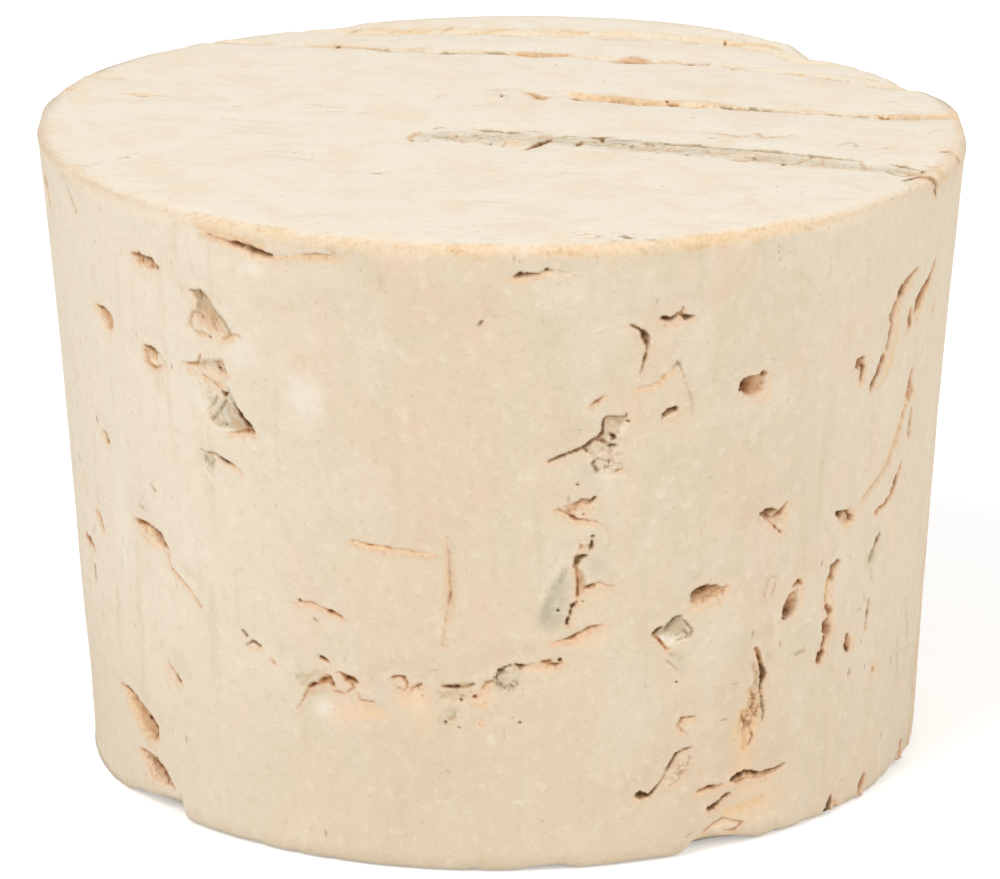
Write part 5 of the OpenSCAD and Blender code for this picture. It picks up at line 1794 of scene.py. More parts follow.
def crumbled_band() -> list:
    """Crumbly grey band from in front of the middle out through the right rim.

    Returns: the marks.
    """
    return [
        # ground of the band, mottled cream and grey, with a thin grey line along its back
        top_streak(GREYISH, 0.85, (-4.9, -3.3, 1.6), (-2, -3.4, 3.4), (2, -3.9, 3.6), (6, -4.7, 3)),
        top_streak(
            GREYISH, 0.85, (6, -4.8, 3), (10, -6, 3.2), (14, -7.3, 3.2), (18, -8.7, 2.6),
            (24, -11, 1.4),
        ),
        top_streak(ASHEN, 0.6, (6.3, -3.7, 0.3), (10, -4.9, 0.4), (15, -6.1, 0.4), (20.7, -8.2, 0.3)),
        Crumbs(OnTop(-0.6, -4, -5), 6.5, 2.6, 0.08, 0.34, CREAMY, SHADED_BROWN, 0.4, 0.18),
        Crumbs(OnTop(8, -5.5, -16), 6.5, 2, 0.08, 0.34, CREAMY, SHADED_BROWN, 0.45, 0.18),
        Crumbs(OnTop(14.4, -7.6, -16), 7, 2, 0.08, 0.34, CREAMY, RUSTY, 0.45, 0.18),
        # left end
        top_streak(AMBER, 0.8, (-4.8, -2.3, 0.1), (-5.2, -3, 0.6), (-5.5, -3.8, 0.5), (-5.3, -4.6, 0.1)),
        top_dot(-5.3, -4.4, 0.27, 0.67, RUST),
        top_streak(KHAKI, 0.75, (-4.6, -4.5, 0.2), (-3.9, -3.3, 1.6), (-3.2, -2.3, 0.2)),
        top_dot(-4.4, -4.5, 0.34, 0.4, GREY),
        top_crack(FAINT, (-4, -1.7, 0.14), (-3.7, -1.3, 0.3), (-3.3, -1.5, 0.14), lip=0.1),
        top_dot(-2.7, -3.4, 0.24, 0.9, DARK),
        top_crack(FAINT, (-3.1, -3, 0.14), (-2.9, -4, 0.21), (-2.5, -4.2, 0.15), lip=0.2),
        top_crack(
            GREY, (-1.6, -1.7, 0.14), (-0.9, -2, 0.85), (-0.2, -2.2, 0.5), (0.3, -2.5, 0.14),
            lip=0.1,
        ),
        top_crack(GREY, (0.3, -2.6, 0.14), (0.7, -2.4, 0.75), (0.9, -2.5, 0.14), lip=0.1),
        top_streak(MILKY, 0.8, (-1.1, -3, 0.2), (-0.6, -3.9, 1.3), (0.2, -5.2, 0.15)),
        top_dot(-0.7, -5, 0.27, 0.67, GREY),
        top_crack(FAINT, (-0.3, -2.7, 0.14), (0.2, -4.5, 0.15), (0, -5.7, 0.14), lip=0.1),
        top_streak(CREAMY, 0.85, (0.2, -4.5, 0.4), (0.8, -4.7, 2.4), (1.5, -4.5, 0.5)),
        top_crack(GREY, (1.5, -2, 0.14), (1.9, -2.1, 0.42), (2.4, -2.3, 0.14), lip=0.1),
        top_streak(AMBER, 0.6, (1.9, -3.5, 0.25), (2.6, -3.2, 1.1), (3, -3.3, 0.2)),
        top_crack(
            DARK, (1.4, -6.3, 0.14), (1.9, -5.5, 0.46), (2.5, -4.4, 0.55), (3, -3.6, 0.14),
            lip=0.6,
        ),
        # middle stretch
        top_crack(GREY, (3.5, -3.4, 0.14), (3.8, -3.1, 0.45), (4.6, -3.1, 0.14), lip=0.1),
        top_streak(KHAKI, 0.55, (3.2, -3.7, 0.2), (3.8, -3.7, 0.75), (4.5, -3.5, 0.2)),
        top_crack(DARK, (4.4, -5.4, 0.14), (4.5, -4.9, 0.38), (4.7, -4.2, 0.14), lip=0.8),
        top_crack(DARK, (5, -3.3, 0.14), (5.7, -3.5, 0.45), (6.6, -3.2, 0.14), lip=0.1),
        top_dot(5.9, -3.9, 0.37, 1.2, DARK),
        top_streak(KHAKI, 0.75, (6.1, -4.8, 0.3), (7, -5.2, 1.4), (7.9, -5.4, 0.4)),
        top_streak(ASHEN, 0.75, (6.8, -4, 0.1), (7.6, -4.1, 0.55), (8.5, -4.4, 0.25)),
        top_crack(GREY, (8.2, -4.2, 0.14), (8.6, -4.6, 0.8), (8.9, -4.5, 0.2), lip=0.1),
        top_dot(7.6, -5.4, 0.34, 1.2, GREY),
        top_crack(FAINT, (8.1, -5.6, 0.14), (8.5, -6.2, 0.3), (8.9, -5.8, 0.14), lip=0.2),
        top_crack(
            GREY, (9.2, -4.3, 0.14), (10.1, -4.9, 0.5), (11.5, -4.9, 0.43), (12.3, -5.5, 0.14),
            lip=0.1,
        ),
        top_crack(FAINT, (9.3, -5.7, 0.14), (9.8, -6.3, 0.35), (10.2, -5.9, 0.14), lip=0.3),
        top_dot(10.8, -7.1, 0.27, 0.7, GREY),
        top_crack(FAINT, (11.8, -5.7, 0.14), (12.1, -6.4, 0.3), (12.8, -6.6, 0.14), lip=0.2),
        top_crack(GREY, (12.5, -5.8, 0.14), (13.1, -5.8, 0.35), (13.9, -5.8, 0.14), lip=0.1),
        top_streak(PEACHY, 0.7, (13.4, -8, 0.25), (14.1, -7.2, 1.1), (14.6, -6.3, 0.15)),
        top_crack(RUST, (13.3, -8.1, 0.14), (14, -8.5, 0.3), (14.9, -8, 0.14), lip=0.3),
        top_dot(14.7, -7.8, 0.3, 1, GREY),
        # right stretch
        top_crack(
            GREY, (14.5, -5.9, 0.15), (15.2, -6.1, 0.65), (16.1, -6.3, 0.6), (16.6, -6.6, 0.16),
            lip=0.1,
        ),
        top_dot(16.3, -9.1, 0.34, 0.8, DARK),
        top_crack(FAINT, (16.4, -9.3, 0.14), (17, -8.9, 0.3), (18.1, -7.5, 0.14), lip=0.2),
        top_dot(18, -9.4, 0.27, 0.6, RUST),
        top_crack(
            GREY, (17.1, -7, 0.14), (17.9, -7.2, 0.55), (19, -7.6, 0.58), (20.7, -8.2, 0.17),
            lip=0.1,
        ),
        top_crack(FAINT, (18.7, -7.9, 0.14), (18.5, -9.2, 0.14), (19.5, -9.8, 0.32), (20.6, -10, 0.14)),
        top_streak(KHAKI, 0.65, (17.4, -7.8, 0.3), (18.1, -8.2, 0.3)),
        top_streak(PEACHY, 0.8, (20.8, -8.8, 0.1), (21, -9.6, 0.5), (21.3, -10.2, 0.1)),
        top_crack(FAINT, (20.8, -8.1, 0.14), (21.1, -10.2, 0.15), lip=0.2),
        top_streak(KHAKI, 0.65, (22, -9.5, 0.26), (22.9, -10.3, 1), (23.6, -10.5, 0.25)),
        top_crack(GREY, (22.4, -8.8, 0.14), (23.2, -9.4, 0.5), (24.3, -10.4, 0.14), lip=0.1),
        top_crack(GREY, (22.2, -10.4, 0.14), (22.7, -11.3, 0.3), (23.4, -11.7, 0.14), lip=0.1),
        top_streak(AMBER, 0.8, (23.4, -10.9, 0.25), (23.8, -11.2, 1.1), (24.3, -11.5, 0.3)),
        top_dot(23.5, -11.3, 0.27, 0.6, RUST),
        top_dot(24.3, -10.6, 0.34, 0.8, RUST),
        # where it breaks through the rim
        crack(DARK, (61.5, 38, 0.3), (63.5, 37.6, 0.4), (65, 37, 0.35), (66.3, 36.2, 0.15), lip=0.6),
        streak(STRAW, 0.9, (65.5, 37.9, 0.3), (67.5, 37.3, 0.5), (69.5, 36.8, 0.3)),
        streak(STRAW, 0.9, (69.5, 37.9, 0.3), (68, 37.2, 0.4), (66.5, 36.6, 0.3)),
        # faint crumbs behind the band
        top_streak(
            KHAKI, 0.45, (11.8, -1.9, 0.2), (13.5, -2.7, 0.7), (15.9, -3, 0.9), (17.5, -3.4, 0.2),
        ),
        top_crack(FAINT, (12.7, -2.1, 0.14), (13.2, -2.2, 0.22), (13.7, -2.6, 0.14), lip=0.1),
        top_crack(FAINT, (13.7, -2.7, 0.14), (14, -2.9, 0.35), (14.3, -2.7, 0.14), lip=0.2),
        top_crack(FAINT, (15.1, -1.9, 0.14), (15.4, -3.1, 0.16), (16.4, -2.7, 0.22), (17.1, -2.5, 0.14)),
        top_streak(KHAKI, 0.45, (19.7, -4.8, 0.12), (20.5, -4, 0.6), (20.9, -4.7, 0.17)),
        top_dot(20.8, -4.8, 0.27, 0.67, GREY),
        top_streak(KHAKI, 0.5, (22.1, -5.5, 0.13), (22.7, -5.2, 0.55), (23.4, -5.6, 0.12)),
        top_crack(RUST, (25.6, -6.1, 0.16), (25.9, -6, 0.37), (26.2, -6.6, 0.14), lip=0.3),
        top_crack(RUST, (26.3, -6.4, 0.14), (26.6, -7.2, 0.45), (27, -6.7, 0.14), lip=0.3),
        top_dot(26.5, -7.9, 0.34, 0.8, RUST),
    ]


def middle_line() -> list:
    """What fills the middle growth line: open and ochre on the right, nearly closed on the left.

    Returns: the marks.
    """
    return [
        # its beginning
        top_streak(KHAKI, 0.55, (-0.9, 7.6, 0.2), (-0.3, 7.7, 0.8), (0.1, 7.6, 0.13)),
        top_dot(0, 6.4, 0.3, 1, GREY),
        top_streak(KHAKI, 0.55, (-0.3, 6.6, 0.3), (0.3, 6.4, 0.37)),
        top_streak(HONEY, 0.7, (0.1, 7.9, 0.1), (0.8, 8.1, 0.45), (1.4, 7.9, 0.1)),
        top_crack(RUST, (1.5, 7.3, 0.14), (1.9, 6.6, 0.42), (2.4, 5.8, 0.6), (2.9, 6.1, 0.14), lip=0.7),
        top_streak(AMBER, 0.75, (1.6, 7.4, 0.1), (2.2, 6.6, 0.56), (2.9, 6, 0.2)),
        top_streak(CREAMY, 0.6, (-1.9, 5.6, 0.15), (-0.2, 4.9, 0.75), (1.6, 5.1, 0.2)),
        # open stretch
        top_streak(STRAW, 0.8, (4.3, 7.1, 0.1), (5, 6.5, 0.85), (7, 6.4, 0.92), (9.1, 5.4, 0.82)),
        top_streak(STRAW, 0.8, (9.1, 5.4, 0.82), (10.8, 5.4, 0.7), (12.4, 5.4, 0.9), (14.6, 3.9, 0.12)),
        top_crack(RUST, (4.4, 6.6, 0.14), (4.6, 6, 0.46), (5.5, 5.9, 0.14), lip=0.6),
        top_crack(OCHRE, (5.4, 5.9, 0.14), (6.7, 5.6, 0.5), (8, 5.2, 0.58), (8.8, 4.9, 0.22), lip=0.4),
        top_dot(10, 5.4, 0.41, 0.8, RUST),
        top_crack(OCHRE, (9.9, 5.4, 0.14), (10.3, 5, 0.43), (10.8, 4.9, 0.14), lip=0.4),
        top_crack(OCHRE, (11, 4.4, 0.15), (11.4, 4.3, 0.5), (12.4, 4.7, 0.14), lip=0.3),
        top_crack(GREY, (13.1, 4.5, 0.14), (13.9, 3.8, 0.46), (14.6, 3.6, 0.14), lip=0.2),
        top_crack(GREY, (14.8, 3.7, 0.14), (15.1, 3.9, 0.46), (15.4, 3.6, 0.14), lip=0.2),
        top_crack(GREY, (15.7, 3.7, 0.14), (16, 3.5, 0.38), (16.2, 3.4, 0.14), lip=0.2),
        top_streak(PEACHY, 0.7, (17.3, 3.3, 0.13), (18.4, 3.4, 0.93), (19.7, 3.1, 0.13)),
        top_crack(FAINT, (16.5, 3.4, 0.14), (18.3, 2.7, 0.26), (19.3, 2.7, 0.14), lip=0.1),
        top_crack(GREY, (19.3, 2.7, 0.14), (19.8, 2.5, 0.36), (20.5, 2.1, 0.14), lip=0.1),
        top_crack(GREY, (21, 2, 0.14), (21.4, 2.1, 0.52), (21.9, 1.8, 0.14), lip=0.1),
        top_crack(RUST, (22.6, 2.4, 0.14), (22.9, 1.7, 0.6), (23.2, 2.2, 0.14), lip=0.6),
        top_streak(AMBER, 0.6, (22.8, 2.6, 0.13), (24.2, 2.5, 1), (26.3, 2.2, 0.9), (27.2, 1.7, 0.2)),
        top_crack(OCHRE, (23.9, 1.8, 0.14), (24.5, 1.5, 0.35), (25, 1.8, 0.14), lip=0.3),
        top_streak(PINKISH, 0.5, (22.1, 3.2, 0.1), (23.6, 3.7, 0.56), (25.8, 3.2, 0.13)),
        top_streak(CHALKY, 0.6, (25.6, 0.8, 0.2), (26.5, -0.5, 0.8), (27, -2.4, 0.2)),
        top_streak(KHAKI, 0.5, (25.1, -2, 0.1), (25.7, -1.2, 0.48), (26.2, -0.8, 0.11)),
        # nearly closed stretch
        top_streak(AMBER, 0.7, (-26.9, 6.9, 0.2), (-26, 6.9, 0.3)),
        top_streak(HONEY, 0.45, (-26, 6.9, 0.2), (-24.1, 7, 0.17)),
        top_streak(HONEY, 0.8, (-22.9, 6.1, 0.2), (-21.6, 5.7, 1), (-20.2, 5.6, 0.2)),
        top_streak(BROWN, 0.7, (-22, 5.4, 0.14), (-21.4, 5.4, 0.14)),
        top_streak(HONEY, 0.4, (-19.7, 5.3, 0.17), (-17.7, 5.1, 0.13)),
        top_streak(BROWN, 0.6, (-16.3, 3.2, 0.12), (-15.8, 3.2, 0.12)),
        top_streak(AMBER, 0.5, (-11.7, 3.9, 0.1), (-10.4, 3.3, 0.47), (-9.3, 3.1, 0.1)),
    ]


def back_lines() -> list:
    """What fills the second and third growth lines, towards the back of the wide end.

    Returns: the marks.
    """
    return [
        # second line, left half
        top_streak(KHAKI, 0.65, (-15.2, 19.4, 0.13), (-14.6, 19.4, 0.65), (-14.1, 19.6, 0.13)),
        top_streak(STRAW, 0.85, (-12.1, 18.7, 0.13), (-11.3, 18.6, 0.85), (-10.4, 18.7, 0.26)),
        top_dot(-10.2, 18.7, 0.48, 1, RUST),
        top_streak(HONEY, 0.5, (-9.8, 18.6, 0.13), (-8.4, 18.6, 0.2)),
        top_crack(
            FAINT, (-8.6, 18.5, 0.15), (-7.7, 18.1, 0.62), (-7.1, 17.5, 0.62), (-6.7, 17.3, 0.2),
            lip=0.4,
        ),
        top_crack(RUST, (-8.3, 18.3, 0.14), (-7.5, 17.8, 0.37), (-6.9, 17.2, 0.14), lip=0.3),
        top_streak(STRAW, 0.65, (-6, 17.9, 0.2), (-5.2, 18.2, 1.1), (-4.3, 18.1, 0.2)),
        top_streak(KHAKI, 0.6, (-6.8, 17.1, 0.13), (-5.7, 17.3, 0.56), (-4.4, 17.1, 0.2)),
        top_crack(GREY, (-4.2, 17.1, 0.15), (-3.4, 17.1, 0.66), (-2.3, 17, 0.14), lip=0.3),
        top_streak(STRAW, 0.6, (-2.2, 17.5, 0.2), (-1.5, 17.5, 0.75), (-0.8, 17.6, 0.13)),
        top_crack(GREY, (-0.9, 17.4, 0.15), (-0.2, 17.3, 0.6), (0.5, 16.9, 0.15), lip=0.4),
        # second line, right half
        top_crack(
            OCHRE, (1, 17.1, 0.18), (1.4, 16.9, 0.75), (2.2, 16.4, 0.58), (4.1, 16.9, 0.35),
            lip=0.6,
        ),
        top_streak(AMBER, 0.8, (1, 17.3, 0.16), (1.8, 17.3, 0.75), (3.2, 17, 0.63), (4.1, 17, 0.2)),
        top_streak(HONEY, 0.5, (4.4, 16.6, 0.11), (5.6, 15.8, 0.5), (6.4, 15.4, 0.18)),
        top_streak(AMBER, 0.9, (6.5, 15.3, 0.2), (7.3, 15.5, 1.1), (8.2, 15.9, 1.7), (9.5, 15, 0.2)),
        top_crack(RUST, (7, 14.9, 0.14), (8.2, 15.2, 0.85), (9.1, 14.9, 0.15), lip=0.2),
        top_streak(STRAW, 0.8, (9.4, 14.9, 0.2), (10.1, 15.2, 0.8), (11.1, 15.2, 0.26)),
        top_crack(DARK, (11.1, 14.8, 0.14), (11.7, 14.8, 0.46), (12.3, 14.7, 0.14), lip=0.4),
        top_streak(HONEY, 0.45, (12.4, 14.6, 0.12), (13.9, 13.9, 0.54), (16.5, 13.3, 0.12)),
        top_dot(14.3, 13.8, 0.41, 0.6, RUST),
        top_streak(STRAW, 0.8, (17, 12.6, 0.12), (18, 12.7, 0.56), (18.8, 12.6, 0.16)),
        top_crack(OCHRE, (18.1, 12.5, 0.14), (18.5, 12.5, 0.58), (18.8, 12.5, 0.14), lip=0.3),
        top_streak(HONEY, 0.75, (21.5, 12.3, 0.12), (22.5, 11.8, 0.68), (23.8, 11, 0.18)),
        top_streak(PINKISH, 0.5, (23.9, 6.3, 0.12), (24.5, 6.7, 0.67), (25.1, 7.1, 0.12)),
        # third line
        top_streak(UMBER, 0.7, (-9.9, 23.4, 0.13), (-9.4, 23.6, 0.6), (-9, 23.9, 0.11)),
        top_streak(STRAW, 0.75, (-8.3, 23.9, 0.16), (-7.8, 23.9, 0.75), (-7.4, 24, 0.16)),
        top_streak(HONEY, 0.85, (-7.2, 23.1, 0.2), (-6.2, 23, 1), (-4.8, 23.1, 0.93), (-3.9, 23.4, 0.2)),
        top_streak(AMBER, 0.85, (-3.8, 22.6, 0.12), (-3.4, 23.3, 0.8), (-3.1, 24.1, 0.12)),
        top_streak(
            HONEY, 0.9, (-3.3, 22.1, 0.15), (-1.5, 22.5, 1.1), (-0.4, 23.2, 1.1), (0.9, 23.3, 0.2),
        ),
        top_crack(FAINT, (-0.4, 22.1, 0.14), (0.4, 21.8, 0.31), (1.9, 21.5, 0.14), lip=0.2),
        top_streak(HONEY, 0.9, (2.5, 22.6, 0.26), (4, 22.7, 1.7), (5.5, 22.4, 0.26)),
        top_streak(KHAKI, 0.65, (5.9, 20.9, 0.13), (6.8, 20.7, 0.63), (9, 20.3, 0.13)),
        top_streak(KHAKI, 0.55, (11, 20, 0.13), (11.9, 19.9, 0.63), (12.8, 20, 0.13)),
        top_streak(PEACHY, 0.6, (12.9, 20.2, 0.33), (13.7, 20.2, 0.4)),
        top_dot(14.1, 20, 0.41, 1.4, OCHRE),
        top_streak(
            HONEY, 0.9, (14.1, 19.9, 0.26), (14.9, 19.8, 1.1), (16.8, 19.6, 0.85),
            (18.3, 18.5, 0.2),
        ),
    ]


def front_patch() -> list:
    """Grey-green patch and brown piece at the front rim, and the dots beside them.

    Returns: the marks.
    """
    return [
        Stain(OnTop(6.4, -25.1, -6), 4.8, 1.7, CHALKY, 0.8),
        top_crack(
            FAINT, (4, -25, 0.14), (4.7, -24.5, 0.2), (5.4, -24.8, 0.2),
            (5.1, -25.3, 0.2), (4.2, -25.3, 0.14),
            lip=0.1,
        ),
        top_crack(
            GREY, (6.4, -25, 0.14), (6.7, -24.8, 0.4), (6.9, -25.3, 0.4), (7.3, -25.2, 0.14),
            lip=0.1,
        ),
        top_dot(6.1, -24.3, 0.14, 0.4, GREY),
        top_dot(7.2, -24.4, 0.14, 0.4, GREY),
        top_dot(6.1, -25.9, 0.16, 0.5, RUST),
        top_streak(KHAKI, 0.8, (7.8, -25.4, 0.3), (8.9, -25.8, 0.9), (9.4, -25.9, 0.3)),
        top_streak(AMBER, 0.7, (9.6, -26.2, 0.4), (10.5, -26.4, 1.2), (11.5, -26, 0.4)),
        streak(UMBER, 0.8, (21, 37.6, 0.3), (22.3, 37.2, 0.5), (24.5, 37.3, 0.3)),
        streak(KHAKI, 0.7, (17.4, 37.5, 0.3), (18.9, 37.2, 0.4)),
        top_streak(KHAKI, 0.5, (11.6, -22, 0.3), (13.4, -21.9, 0.3)),
        dot(32.4, 36.8, 0.16, GREY),
        dot(34.3, 36.5, 0.18, GREY),
        dot(36, 36.6, 0.16, GREY),
        dot(34.4, 36.2, 0.18, GREY),
    ]


def wide_end() -> list:
    """What shows on the wide end besides the growth lines.

    Returns: the marks.
    """
    return [
        # specks and faint strokes
        top_streak(BROWN, 0.8, (-22.2, -9, 0.35), (-21.8, -9, 0.35)),
        top_streak(BROWN, 0.5, (-24.4, -11, 0.3), (-24, -11, 0.3)),
        top_streak(ASHEN, 0.6, (-7.4, -12, 0.3), (-7, -12, 0.3)),
        top_streak(KHAKI, 0.4, (-16.5, 0.2, 0.3), (-13.4, -0.6, 0.35)),
        top_streak(KHAKI, 0.35, (-10.5, 2.4, 0.3), (-7.8, 1.8, 0.3)),
        top_streak(KHAKI, 0.4, (-13.8, -8.2, 0.3), (-11.2, -8.8, 0.35)),
        top_streak(KHAKI, 0.35, (3, -11.4, 0.3), (5.6, -11.8, 0.3)),
        top_streak(KHAKI, 0.35, (-2.4, -17.8, 0.3), (0.6, -18.2, 0.35)),
        Stain(OnTop(-4, 9, -8), 9, 2.5, CHALKY, 0.3),
        Stain(OnTop(-2, -14, 20), 16, 3, tone(240, 226, 202), 0.5),
        Stain(OnTop(13, 8.5, -12), 12, 2, tone(238, 224, 198), 0.5),
        *front_patch(),
        *crumbled_band(),
        *middle_line(),
        *back_lines(),
    ]


def growth_lines() -> list[GrowthLine]:
    """Growth lines from the front of the wide end to its back.

    Returns: the growth lines.
    """
    return [
        GrowthLine(
            ((-30, 10.6, 0.3, 0.3), (-20, 9.0, 0.12, 0.1), (-12, 7.5, 0.1, 0), (-6, 6.6, 0.08, 0),
             (3.4, 7.2, 0.1, 0), (4.2, 7.0, 1.0, 0.9), (8, 5.5, 1.0, 0.9), (12, 4.5, 0.8, 0.7),
             (15, 3.7, 0.5, 0.6), (18, 3.0, 0.35, 0.3), (21, 2.4, 0.4, 0.5), (23.5, 2.1, 0.7, 0.5),
             (26, 2.3, 0.8, 0.4), (30, 2.4, 0.7, 0.5)),
            drop=0.3, seed=50, band=tone(240, 204, 154),
        ),
        GrowthLine(
            ((-30, 21, 0.4, 0.3), (-17, 19.8, 0.4, 0.2), (-11.5, 19.0, 0.5, 0.4), (-7, 18.0, 0.5, 0.4),
             (-3, 17.3, 0.45, 0.3), (3, 17.0, 0.5, 0.4), (8, 15.6, 0.5, 0.4), (12, 15.0, 0.45, 0.3),
             (19, 12.5, 0.5, 0.3), (24, 10.0, 0.6, 0.2), (30, 8.0, 0.6, 0.3)),
            drop=0.3, seed=60, band=tone(240, 214, 174),
        ),
        GrowthLine(
            ((-24, 25.5, 0.4, 0.1), (-12, 23.6, 0.5, 0.1), (-8, 22.6, 0.6, 0.1), (0, 22.4, 0.6, 0),
             (8, 21.6, 0.6, 0.1), (14, 20.0, 0.6, 0.1), (19, 17.0, 0.5, 0.1), (26, 13.0, 0.4, 0.1)),
            drop=0.3, ramp=1.2, wall=0.9, seed=70, band=tone(240, 212, 168),
        ),
    ]


# ---- the skin's net of cells ----------------------------------------------------------


@dataclass(frozen=True)
class CellSizes:
    """Widest cell, in millimetres, that each part of the skin may have."""

    front: float = 0.8
    back: float = 1.0
    top: float = 0.75
    low: float = 2.2
    rim: float = 0.3
    growth: float = 0.55

    def wanted(self, spots: Spots, features: list) -> np.ndarray:
        """Cell size wanted at each point.

        It is the plain size of its part, or less near a feature: the feature's own size at its
        outline, growing by a fixed share of the distance from it.

        Args:
            spots: points of the skin.
            features: all the features, in order.
        Returns: the size at each point.
        """
        behind = ease(-np.cos(spots.turn) * 2)
        size = self.front + (self.back - self.front) * behind
        size = np.where(spots.top > 0.5, self.top, size)
        size = np.where(spots.low > 0.5, self.low, size)
        bend = (spots.top > 0.02) & (spots.top < 0.98) | (spots.low > 0.02) & (spots.low < 0.98)
        size = np.where(bend, self.rim, size)
        for feature in features:
            away = np.clip(np.abs(feature.gap(spots)) - feature.mesh, 0, None)
            size = np.minimum(size, feature.mesh + self.growth * away)
        return size


class Net:
    """Net of square cells, halved where the skin needs it, no cell meeting one a quarter its size."""

    def __init__(self, chart: Chart, sizes: CellSizes, features: list) -> None:
        """Splits the cells and balances the splits.

        Args:
            chart: map of the blank.
            sizes: widest cells.
            features: all the features, in order.
        """
        self.chart = chart
        levels = chart.levels
        shape = (chart.rows, chart.around)
        active = np.ones(shape, bool)
        self.split = {}
        for level in range(levels, 0, -1):
            rows, columns = np.nonzero(active)
            width = 2**level
            spots = chart.spots((columns + 0.5) * width, (rows + 0.5) * width)
            need = sizes.wanted(spots, features) < spots.r * chart.step * width * 0.75
            chosen = np.zeros_like(active)
            chosen[rows[need], columns[need]] = True
            self.split[level] = chosen
            active = chosen.repeat(2, 0).repeat(2, 1)
        for level in range(1, levels):
            chosen = self.split[level]
            spread = chosen | np.roll(chosen, 1, 1) | np.roll(chosen, -1, 1)
            spread[1:] |= chosen[:-1]
            spread[:-1] |= chosen[1:]
            rows, columns = spread.shape
            parents = spread.reshape(rows // 2, 2, columns // 2, 2).any((1, 3))
            self.split[level + 1] |= parents

    def faces(self) -> tuple[np.ndarray, np.ndarray, np.ndarray, np.ndarray]:
        """Columns and rows of the net's points, then the faces' point numbers and corner counts.

        Each cell gives its four corners and, where a neighbour is halved, the middle of that
        side, in order anticlockwise as seen from outside; absent middles are dropped.

        Returns: columns and rows of the points, corners and counts of the faces.
        """
        chart = self.chart
        keys = []
        fine = chart.fine
        for level in range(chart.levels, -1, -1):
            shape = (chart.rows * 2 ** (chart.levels - level), chart.around * 2 ** (chart.levels - level))
            active = np.ones(shape, bool)
            if level < chart.levels:
                active = self.split[level + 1].repeat(2, 0).repeat(2, 1)
            halved = self.split[level] if level > 0 else np.zeros(shape, bool)
            rows, columns = np.nonzero(active & ~halved)
            width = 2**level
            x, y = columns * width, rows * width
            left = halved[rows, (columns - 1) % shape[1]]
            right = halved[rows, (columns + 1) % shape[1]]
            above = halved[np.maximum(rows - 1, 0), columns] & (rows > 0)
            below = halved[np.minimum(rows + 1, shape[0] - 1), columns] & (rows < shape[0] - 1)
            half = width // 2
            always = np.ones(len(rows), bool)
            ring = (
                (x, y, always), (x, y + half, left), (x, y + width, always),
                (x + half, y + width, below), (x + width, y + width, always),
                (x + width, y + half, right), (x + width, y, always), (x + half, y, above),
            )
            keys.append(np.stack([np.where(on, v * fine + u % fine, -1) for u, v, on in ring], 1))
        keys = np.concatenate(keys)
        present = keys >= 0
        points, corners = np.unique(keys[present], return_inverse=True)
        return points % fine, points // fine, corners, present.sum(1)


# ---- the piece ---------------------------------------------------------------------------


# How far the wide end's outline lies inside its round blank, by angle from the front.
RIM_STEPS = (
    (-180, 0), (-170, 0), (-163, 0.05), (-160.5, 0.15), (-159, 0.5), (-157, 0.8), (-155, 0.75),
    (-153.5, 0.4), (-151, 0.3), (-150, 0), (-147, 0.2), (-144, 0.1), (-141, 0.35), (-138, 0.3),
    (-136, 0), (-130, 0.15), (-124, 0.15), (-115, 0), (106, 0), (108.3, 0.15), (109.7, 0.55),
    (111, 1.0), (113, 1.05), (115.5, 0.7), (120, 0.75), (122.4, 0.95), (124.6, 0.7), (126, 1.1),
    (128, 1.5), (130.5, 1.9), (132.2, 1.65), (134.7, 1.15), (136.8, 0.6), (139, 0.4), (142, 0.25),
    (147, 0.05), (150, 0), (180, 0),
)
# How far the lower rim is chipped upward, by angle from the front.
FOOT_CHIPS = (
    (-180, 0.1), (-90, 0), (-75, -0.1), (-64, 0.2), (-57, 0.75), (-50.6, 1.1),
    (-48.9, 1.2), (-48.5, 0.1), (-20, 0),
    (1, 0), (3, 0.2), (8, 0.2), (9.5, 0), (24, 0.05), (26, 0.75), (31, 0.7), (33, 0.45),
    (36, 0.05), (46, 0.05), (48, -0.15), (51, 0.1), (53, -0.2), (56, 0.1), (58.5, -0.15),
    (63, 0.05), (70, 0.3), (72, 0.05), (90, 0), (150, 0.1),
    (156, 0.5), (165, 0.1), (180, 0.1),
)


